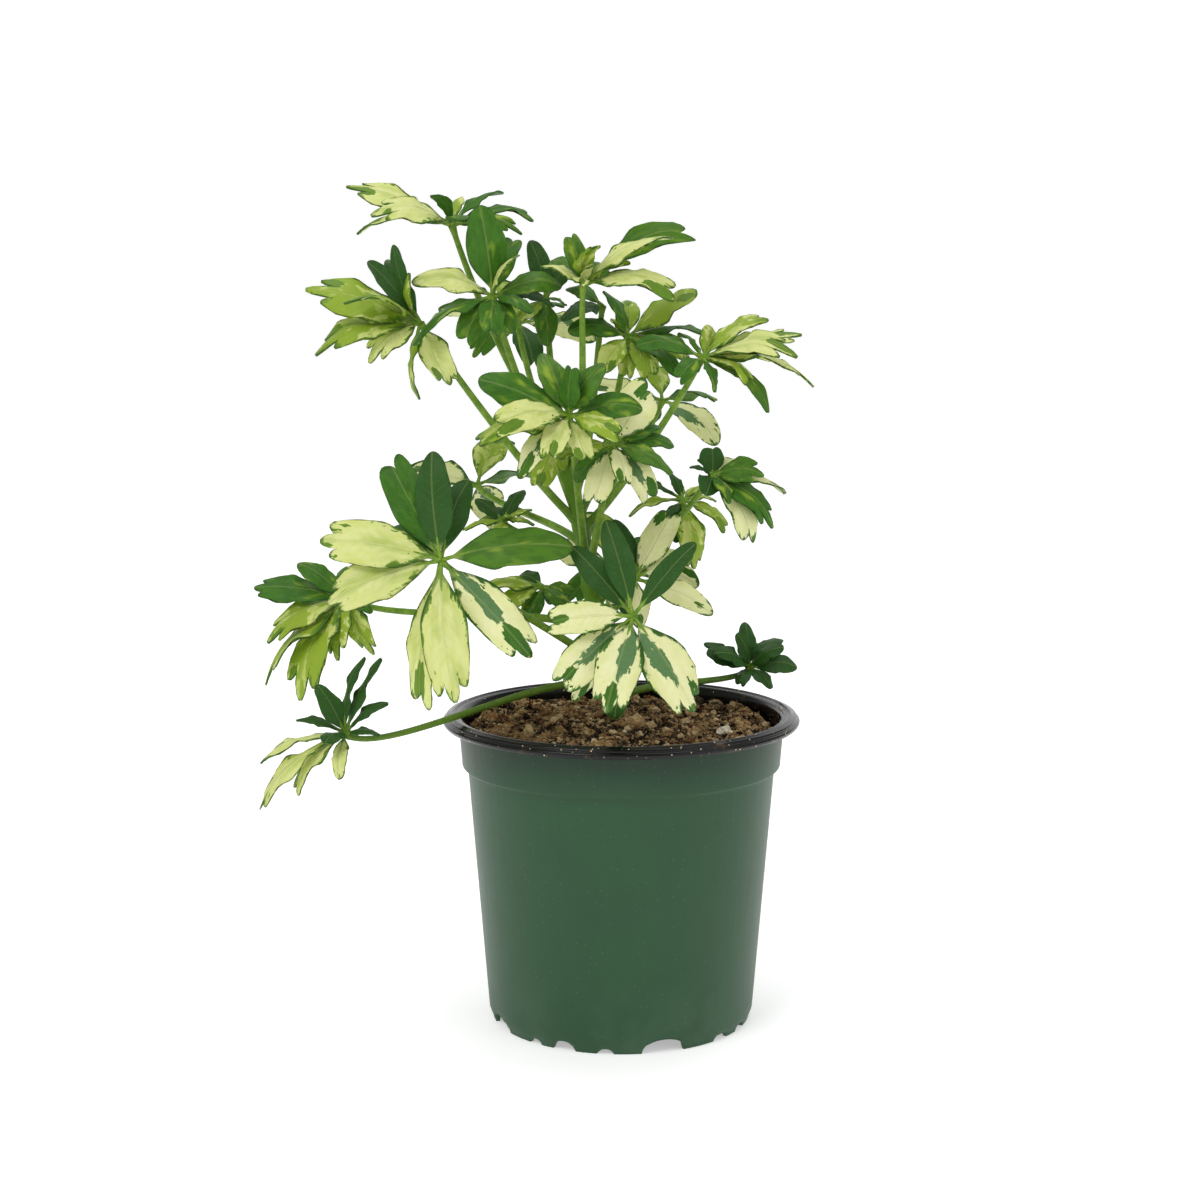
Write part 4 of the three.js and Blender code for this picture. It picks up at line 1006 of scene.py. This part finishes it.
class PLANT_OT_stem(bpy.types.Operator):
    """Turn the stem, with the rings that fallen leaves have left on it"""

    bl_idname = "plant.stem"
    bl_label = "Stem"

    def execute(self, context):
        heights = np.linspace(STEM_PATH[0][2], STEM_PATH[-1][2], STEM_RINGS)
        path = smooth_path(np.array(STEM_PATH, float), heights)
        share = (heights - heights[0]) / (heights[-1] - heights[0])
        radii = STEM_FOOT_RADIUS + (STEM_TIP_RADIUS - STEM_FOOT_RADIUS) * share
        rings = [(leaf[3], *LEAF_RING) for leaf in LEAVES] + [(scar, *SCAR_RING) for scar in SCARS]
        for middle, high, wide in rings:
            radii = radii + high * np.exp(-((heights - middle) / wide) ** 2)
        radii[-len(STEM_END):] *= STEM_END
        builder = Builder()
        builder.add(*tube(path, radii, STEM_SIDES))
        builder.piece("stem_bark", "stem_bark", ["stem"], stem_material(colors()))
        return {"FINISHED"}


# ---------------------------------------------------------------- pot

# Arches between the pot's feet: the place of each round the foot in degrees, its width and height
FOOT_ARCHES = (
    (8, 12, 4.2), (38, 5, 1.8), (62, 7, 3), (88, 13, 4.4), (120, 6, 2), (146, 12, 4.2), (176, 5, 2),
    (204, 11.5, 4.2), (230, 4.4, 1.6), (244.5, 7, 3), (263, 4.6, 1.6), (288, 13.8, 4.4),
    (318, 6, 2), (334, 5.6, 2.2))
FOOT_RADIUS = 41.7
TAPER = 0.08
COLLAR_HEIGHT = 15.8
COLLAR_STEP = 1.7
LIP_HEIGHT = 3.8
FLOOR_HEIGHT = 5
CENTRE_PAD_RADIUS = 12
DRAIN_RADIUS = 4
DRAIN_REACH = FOOT_RADIUS - 12
DRAIN_PLACES = (110, 230, 350)
DRAIN_PATH = (FLOOR_HEIGHT - 2, FLOOR_HEIGHT, FLOOR_HEIGHT + 3.5)
DRAIN_SIDES = 48
COLLAR_FOOT = POT_HEIGHT - COLLAR_HEIGHT
LIP_FOOT = POT_HEIGHT - LIP_HEIGHT
POT_SIDES = 432
NOTCHED_BELOW = 5.5
OVALNESS = 0.0012


def wall_radius(z):
    """The outside radius of the wall below the collar."""
    return FOOT_RADIUS + 1.1 + (z - 3) * TAPER


COLLAR_RADIUS = wall_radius(COLLAR_FOOT) + COLLAR_STEP


def arc(centre, radius, first, last, count):
    """Points of an arc of a profile, angles in degrees."""
    angles = np.radians(np.linspace(first, last, count))
    return [(centre[0] + radius * math.cos(a), centre[1] + radius * math.sin(a)) for a in angles]


def pot_outside():
    """The pot's outside from the foot up to under the lip, as radius and height."""
    profile = [(FOOT_RADIUS, 0), (FOOT_RADIUS + 0.15, 0.8), (FOOT_RADIUS + 0.6, 1.9)]
    profile += [(wall_radius(3), 3.2)]
    profile += [(wall_radius(z), z) for z in np.linspace(6, COLLAR_FOOT - 3.2, 14)]
    profile += arc((wall_radius(COLLAR_FOOT - 3) + 1.1, COLLAR_FOOT - 2.2), 1.1, 180, 118, 5)[1:]
    profile += arc((COLLAR_RADIUS - 0.9, COLLAR_FOOT - 0.4), 0.9, -60, 0, 5)
    collar = np.linspace(COLLAR_FOOT + 1, LIP_FOOT + 0.6, 8)
    profile += [(COLLAR_RADIUS + (z - COLLAR_FOOT) * TAPER, z) for z in collar]
    return profile


def pot_lip_and_inside():
    """The rolled lip and the inside down to the floor, as radius and height."""
    wall = sizes().wall / MM
    top = COLLAR_RADIUS + (LIP_FOOT - COLLAR_FOOT) * TAPER
    profile = [(top + 0.15, LIP_FOOT + 1.3), (RIM_RADIUS - 1.7, LIP_FOOT + 0.9)]
    profile += arc((RIM_RADIUS - 0.9, LIP_FOOT + 0.8), 0.6, 180, 320, 6)
    profile += arc((RIM_RADIUS - 0.8, LIP_FOOT + 1.4), 0.8, -20, 70, 6)
    profile += arc((RIM_RADIUS - 1.6, POT_HEIGHT - 1.2), 0.7, -30, 80, 6)
    profile += arc((RIM_RADIUS - 3.0, POT_HEIGHT - 0.9), 0.9, 50, 120, 6)
    profile += arc((RIM_RADIUS - 4.4, POT_HEIGHT - 2.4), 1.9, 75, 165, 7)
    profile += [(top - wall, LIP_FOOT), (COLLAR_RADIUS - wall + 0.2, COLLAR_FOOT + 2)]
    profile += [(wall_radius(COLLAR_FOOT) - wall, COLLAR_FOOT - 2.4)]
    profile += [(wall_radius(z) - wall, z) for z in (60, 30, FLOOR_HEIGHT + wall + 2)]
    floor = FLOOR_HEIGHT + wall
    profile += arc((wall_radius(floor) - wall - 2, floor + 2), 2, 0, -90, 5)[1:]
    return profile


def notch_lift(angle):
    """How high the foot's edge is lifted at an angle, by the arched notches between the feet."""
    lift = 0.0
    for middle, width, height in FOOT_ARCHES:
        off = (angle - math.radians(middle) + math.pi) % (2 * math.pi) - math.pi
        share = off * FOOT_RADIUS / (width / 2)
        lift = max(lift, height * max(0.0, 1 - share * share) ** 0.4)
    return lift


class PLANT_OT_pot(bpy.types.Operator):
    """Shape the moulded pot: green outside with arched feet, a black lip and inside, and drain holes"""

    bl_idname = "plant.pot"
    bl_label = "Pot"

    def execute(self, context):
        wall = sizes().wall / MM
        outside, inside = pot_outside(), pot_lip_and_inside()
        floor = FLOOR_HEIGHT
        skirt = [(wall_radius(floor) - wall, floor), (FOOT_RADIUS - wall, 0)]
        under = [(0.0, 0.0), (CENTRE_PAD_RADIUS, 0.0), (CENTRE_PAD_RADIUS + 1.5, floor)]
        over = [(CENTRE_PAD_RADIUS + 2, floor + wall), (CENTRE_PAD_RADIUS - 0.6, wall), (0.0, wall)]
        rings = under + skirt + outside + inside + over
        first_outside = len(under) + len(skirt)
        green_rings = range(first_outside - 1, first_outside + len(outside) - 1)
        points = []
        for ring, (radius, z) in enumerate(rings):
            notched = z < NOTCHED_BELOW and len(under) < ring < first_outside + len(outside)
            for angle in angles_round(POT_SIDES):
                lifted = max(z, notch_lift(angle)) if notched else z
                reach = radius * (1 + OVALNESS * math.sin(2 * angle + 0.7) * z / POT_HEIGHT)
                points.append((reach * math.cos(angle), reach * math.sin(angle), lifted))
        faces = ring_faces(len(rings), POT_SIDES)
        green = [face[0] // POT_SIDES in green_rings for face in faces]
        material = pot_black_material(colors())
        piece = mesh_object("pot_shell", np.array(points) * MM, faces, ["pot"], material)
        piece.data.materials.append(pot_green_material(colors()))
        piece.data.polygons.foreach_set("material_index", [int(is_green) for is_green in green])
        weld(piece)
        drill(piece)
        return {"FINISHED"}


def weld(piece):
    """Join points that lie on each other, and drop the faces that vanish."""
    mesh = bmesh.new()
    mesh.from_mesh(piece.data)
    bmesh.ops.remove_doubles(mesh, verts=mesh.verts, dist=0.00002)
    bmesh.ops.recalc_face_normals(mesh, faces=mesh.faces)
    mesh.to_mesh(piece.data)
    mesh.free()


def drill(piece):
    """Cut the drain holes through the pot's floor."""
    drills = Builder()
    for place in DRAIN_PLACES:
        angle = math.radians(place)
        x, y = DRAIN_REACH * math.cos(angle), DRAIN_REACH * math.sin(angle)
        path = [(x, y, z) for z in DRAIN_PATH]
        drills.add(*tube(path, [DRAIN_RADIUS] * len(path), DRAIN_SIDES))
    mesh = bpy.data.meshes.new("drills")
    mesh.from_pydata([tuple(p * MM) for p in drills.points], [], drills.faces)
    cutter = bpy.data.objects.new("drills", mesh)
    bpy.context.scene.collection.objects.link(cutter)
    cut = piece.modifiers.new("drains", "BOOLEAN")
    cut.operation, cut.solver, cut.object = "DIFFERENCE", "EXACT", cutter
    graph = bpy.context.evaluated_depsgraph_get()
    drilled = bpy.data.meshes.new_from_object(piece.evaluated_get(graph))
    if len(drilled.vertices) <= len(piece.data.vertices):
        raise RuntimeError("the drain holes were not cut")
    piece.modifiers.clear()
    piece.data = drilled
    bpy.data.objects.remove(cutter)
    bpy.data.meshes.remove(mesh)


# ---------------------------------------------------------------- soil

SOIL_TOP = 95.2
SOIL_HILL = 1.6
SOIL_RADIUS = 49.4
SOIL_SIDES = 320
SOIL_RINGS = 90
# Rings of the soil's side and bottom, from its top edge down: radius and height
SOIL_SIDE = ((SOIL_RADIUS + 0.4, SOIL_TOP - 3), (wall_radius(78) - 1.8, 76.0), (wall_radius(8) - 1.8, 7.2))

# Larger lumps that lie on the soil: place in X and Y, radius, and how pale
LUMPS = (
    (32.7, -10.4, 2.7, 1.0), (4.6, -7.3, 2.5, 0.35), (9.2, -10.5, 1.9, 0.2), (-38.4, -18, 2.5, 0.2),
    (-29.4, -21, 2.6, 0.4), (32, 32, 3.4, 0.2), (26, 36, 2.2, 0.1), (-20.2, 33, 1.5, 0.9),
    (-10, 0.5, 1.2, 0.8), (10.3, 18.4, 1.8, 0.4), (13.6, -33, 1.6, 0.45), (-4, -36, 1.4, 0.2),
    (-24, 8, 1.9, 0.15), (20, 4, 2.2, 0.1), (40, -22, 1.5, 0.4), (-34, 22, 2.0, 0.2), (8, 40, 2.4, 0.3))


def soil_relief(x, y):
    """Clods, lumps and grains of the soil, up and down about zero."""
    clods = 1.9 * noise.noise((x / 7, y / 7, 3.1)) + 1.3 * noise.noise((x / 3, y / 3, 8.4))
    return clods + 0.7 * noise.noise((x / 1.2, y / 1.2, 1.7))


def soil_height(x, y):
    """The soil's surface: a low rough hill that falls off at the pot's wall."""
    hill = SOIL_HILL * math.cos(x / 17) * math.cos((y + 6) / 15)
    edge = max(0.0, math.hypot(x, y) / SOIL_RADIUS - 0.95) / 0.05
    return SOIL_TOP + hill + soil_relief(x, y) - 1.3 * edge


def ball(subdivisions):
    """Points and faces of a ball: 20 faces for 1 and 80 faces for 2."""
    mesh = bmesh.new()
    bmesh.ops.create_icosphere(mesh, subdivisions=subdivisions, radius=1.0)
    points = np.array([v.co[:] for v in mesh.verts])
    faces = [tuple(v.index for v in face.verts) for face in mesh.faces]
    mesh.free()
    return points, faces


SMALL_BALL, LARGE_BALL = ball(1), ball(2)
SMALL_CRUMB = 0.6
CRUMB_SEED = 7
# Sizes of the crumbs as shares of the middle one, and how pale they are
CRUMB_SIZES = (0.25, 0.3, 0.35, 0.4, 0.5, 0.6, 0.8, 1.1)
CRUMB_PALENESS = (0, 0, 0, 0.15, 0.5)
WHITE_SHARE = 0.05
FIBRE_PALENESS = (0, 0, 0.15, 0.4)
FIBRE_SIDES = 4
FIBRE_POINTS = 8


def random_place(rng, radius):
    """A place on a disc, each spot of it as likely."""
    angle, reach = rng.uniform(0, 2 * math.pi), radius * math.sqrt(rng.random())
    return reach * math.cos(angle), reach * math.sin(angle)


def crumb_body(rng, radius):
    """A rough crumb: a ball of few faces with its points pushed in and out."""
    points, faces = SMALL_BALL if radius < SMALL_CRUMB else LARGE_BALL
    stretch = np.array([rng.uniform(0.7, 1.4), rng.uniform(0.6, 1.1), rng.uniform(0.5, 0.9)])
    pushed = points * stretch * radius * np.array([rng.uniform(0.6, 1.25) for _ in points])[:, None]
    turn = rng.uniform(0, 2 * math.pi)
    tilt = rng.uniform(-0.6, 0.6)
    upright, sideways = np.array([0.0, 0.0, 1.0]), np.array([1.0, 0.0, 0.0])
    return np.array([turned(turned(p, upright, turn), sideways, tilt) for p in pushed]), faces


def fibre_path(rng, x, y):
    """A thin bent fibre that follows the soil's surface from a place on it."""
    heading = rng.uniform(0, 2 * math.pi) + rng.uniform(-1.2, 1.2) * np.linspace(0, 1, FIBRE_POINTS)
    step = rng.uniform(0.35, 1.0)
    xs, ys = x + np.cumsum(step * np.cos(heading)), y + np.cumsum(step * np.sin(heading))
    return [(a, b, soil_height(a, b) + 0.3) for a, b in zip(xs, ys)]


class PLANT_OT_soil(bpy.types.Operator):
    """Heap the peat mix in the pot, with a rough surface"""

    bl_idname = "plant.soil"
    bl_label = "Soil"

    def execute(self, context):
        points, spot = [], []
        rows = [(SOIL_RADIUS * k / SOIL_RINGS, None) for k in range(1, SOIL_RINGS + 1)] + list(SOIL_SIDE)
        for radius, z in rows:
            for angle in angles_round(SOIL_SIDES):
                x, y = radius * math.cos(angle), radius * math.sin(angle)
                points.append((x, y, soil_height(x, y) if z is None else z))
                # Lower places of the relief are darker: painted shade in the hollows.
                tone_and_hollow_shade = 0.42 + 0.3 * soil_relief(x, y) + 0.2 * noise.noise((x / 9, y / 9, 5.5))
                spot.append((min(1.0, max(0.0, tone_and_hollow_shade)), 0.0, 0.0, 0.5))
        faces = [(face[0], *face[:0:-1]) for face in ring_faces(len(rows), SOIL_SIDES)]
        faces.append(tuple(range(SOIL_SIDES)))
        faces.append(tuple(reversed(range(len(points) - SOIL_SIDES, len(points)))))
        builder = Builder()
        builder.add(points, faces, spot=spot)
        builder.piece("soil_body", "potting_mix", ["soil"], soil_material("peat_mix", colors()))
        return {"FINISHED"}


class PLANT_OT_crumbs(bpy.types.Operator):
    """Strew lumps, crumbs and fibres of peat, bark and white perlite over the soil"""

    bl_idname = "plant.crumbs"
    bl_label = "Crumbs"

    def execute(self, context):
        rng = random.Random(CRUMB_SEED)
        builder = Builder()
        middle = sizes().crumb / MM
        crumbs = list(LUMPS)
        for _ in range(sizes().crumbs):
            x, y = random_place(rng, SOIL_RADIUS - 0.8)
            radius, pale = middle * rng.choice(CRUMB_SIZES), rng.choice(CRUMB_PALENESS)
            if rng.random() < WHITE_SHARE:
                radius, pale = 0.5 * radius, rng.uniform(0.6, 1.0)
            crumbs.append((x, y, radius, pale))
        for x, y, radius, pale in crumbs:
            points, faces = crumb_body(rng, radius)
            # Random tone, lighter on raised soil: painted light on the tops and painted shade in the
            # hollows.
            tone_and_hollow_shade = 1.1 * rng.random() ** 1.6 + 0.25 * (soil_relief(x, y) > 0)
            z = soil_height(x, y) + radius * rng.uniform(-0.1, 0.4)
            spot = (tone_and_hollow_shade, pale, 0.0, rng.random())
            builder.add(points + np.array([x, y, z]), faces, spot=spot)
        for _ in range(sizes().fibres):
            path = fibre_path(rng, *random_place(rng, SOIL_RADIUS - 7))
            points, faces = tube(path, [rng.uniform(0.09, 0.2)] * len(path), FIBRE_SIDES)
            spot = (rng.random(), rng.choice(FIBRE_PALENESS), 0.0, rng.random())
            builder.add(points, faces, spot=spot)
        material = soil_material("peat_crumbs", colors())
        builder.piece("soil_crumbs", "potting_mix", ["soil"], material, smooth=False)
        return {"FINISHED"}


# ---------------------------------------------------------------- stage

CAMERA_PLACE = (-6.8, -685, 237)
CAMERA_PITCH = 81.57
CAMERA_LENS = 65.3
# The paper under the plant in metres: half its width, its front edge, its bend and its top
PAPER_REACH, PAPER_FRONT, PAPER_BEND, PAPER_TOP = 3.0, -3.0, 2.5, 3.0
PAPER_GLOW = 0.42
ROOM_LIGHT = 0.42
LAMPS = (
    ("key_light", (-0.9, -1.1, 1.5), (0, 0, 0.12), 0.9, 12),
    ("fill_light", (1.4, -0.9, 0.9), (0, 0, 0.14), 1.2, 4.5),
    ("top_light", (0.1, 0.3, 1.7), (0, 0, 0.15), 1.0, 8))


def lamp(name, place, target, width, power):
    """A soft square lamp that faces a target."""
    light = bpy.data.lights.new(name, "AREA")
    light.energy, light.size = power, width
    made = bpy.data.objects.new(name, light)
    made.location = place
    made.rotation_euler = (Vector(target) - Vector(place)).to_track_quat("-Z", "Y").to_euler()
    bpy.context.scene.collection.objects.link(made)


class PLANT_OT_stage(bpy.types.Operator):
    """Set the pale floor, the soft lights and the camera at the photograph's angle"""

    bl_idname = "plant.stage"
    bl_label = "Stage"

    def execute(self, context):
        scene = bpy.context.scene
        camera = bpy.data.cameras.new("camera")
        camera.lens, camera.sensor_width = CAMERA_LENS, 36.0
        camera.clip_start = 0.01
        view = bpy.data.objects.new("camera", camera)
        view.location = Vector(CAMERA_PLACE) * MM
        view.rotation_euler = (math.radians(CAMERA_PITCH), 0, 0)
        scene.collection.objects.link(view)
        scene.camera = view

        floor_mesh = bpy.data.meshes.new("floor")
        bend = np.linspace(0, math.pi / 2, 12)
        curve = [(PAPER_FRONT, 0.0)] + [(PAPER_BEND + math.sin(a), 1.0 - math.cos(a)) for a in bend]
        curve.append((PAPER_BEND + 1.0, PAPER_TOP))
        points = [(side * PAPER_REACH, y, z) for y, z in curve for side in (-1, 1)]
        faces = [(2 * k, 2 * k + 1, 2 * k + 3, 2 * k + 2) for k in range(len(curve) - 1)]
        floor_mesh.from_pydata(points, [], faces)
        floor_mesh.shade_smooth()
        floor = bpy.data.objects.new("floor", floor_mesh)
        paper = Shader("pale_paper")
        grain = paper.noise(paper.place(), 0.02, 2.0)
        tone = paper.mix(grain, (0.93, 0.93, 0.93, 1), (0.95, 0.95, 0.95, 1))
        floor_mesh.materials.append(paper.finish(
            tone, 0.9, Specular_IOR_Level=0.1, Emission_Color=(1, 1, 1, 1), Emission_Strength=PAPER_GLOW))
        scene.collection.objects.link(floor)
        floor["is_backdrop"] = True

        world = bpy.data.worlds.new("studio")
        world.use_nodes = True
        background = world.node_tree.nodes["Background"].inputs
        background["Color"].default_value = (1.0, 1.0, 1.0, 1)
        background["Strength"].default_value = ROOM_LIGHT
        scene.world = world
        for settings in LAMPS:
            lamp(*settings)
        scene.view_settings.view_transform = "Standard"
        return {"FINISHED"}


# ---------------------------------------------------------------- add-on

BUILD_STEPS = (
    PLANT_OT_stage, PLANT_OT_pot, PLANT_OT_soil, PLANT_OT_crumbs, PLANT_OT_stem, PLANT_OT_leaves)


class PLANT_PT_panel(bpy.types.Panel):
    """Lists the plant's sizes, colours and building steps"""

    bl_idname = "PLANT_PT_panel"
    bl_label = "Potted Umbrella Plant"
    bl_space_type = "VIEW_3D"
    bl_region_type = "UI"
    bl_category = "Plant"

    def draw(self, context):
        for step in BUILD_STEPS:
            self.layout.operator(step.bl_idname)
        for group in (context.scene.plant_sizes, context.scene.plant_colors):
            box = self.layout.box()
            for name in type(group).__annotations__:
                box.prop(group, name)


CLASSES = (PlantSizes, PlantColors, *BUILD_STEPS, PLANT_PT_panel)


def register():
    for cls in CLASSES:
        bpy.utils.register_class(cls)
    bpy.types.Scene.plant_sizes = PointerProperty(type=PlantSizes)
    bpy.types.Scene.plant_colors = PointerProperty(type=PlantColors)


def unregister():
    del bpy.types.Scene.plant_colors
    del bpy.types.Scene.plant_sizes
    for cls in reversed(CLASSES):
        bpy.utils.unregister_class(cls)


def main():
    register()
    bpy.ops.plant.stage()
    bpy.ops.plant.pot()
    bpy.ops.plant.soil()
    bpy.ops.plant.crumbs()
    bpy.ops.plant.stem()
    bpy.ops.plant.leaves()
    boxes = {"cad": CAD_BOUNDS, "visual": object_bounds()}
    boxes = {name: [list(corner) for corner in box] for name, box in boxes.items()}


if __name__ == "__main__":
    main()
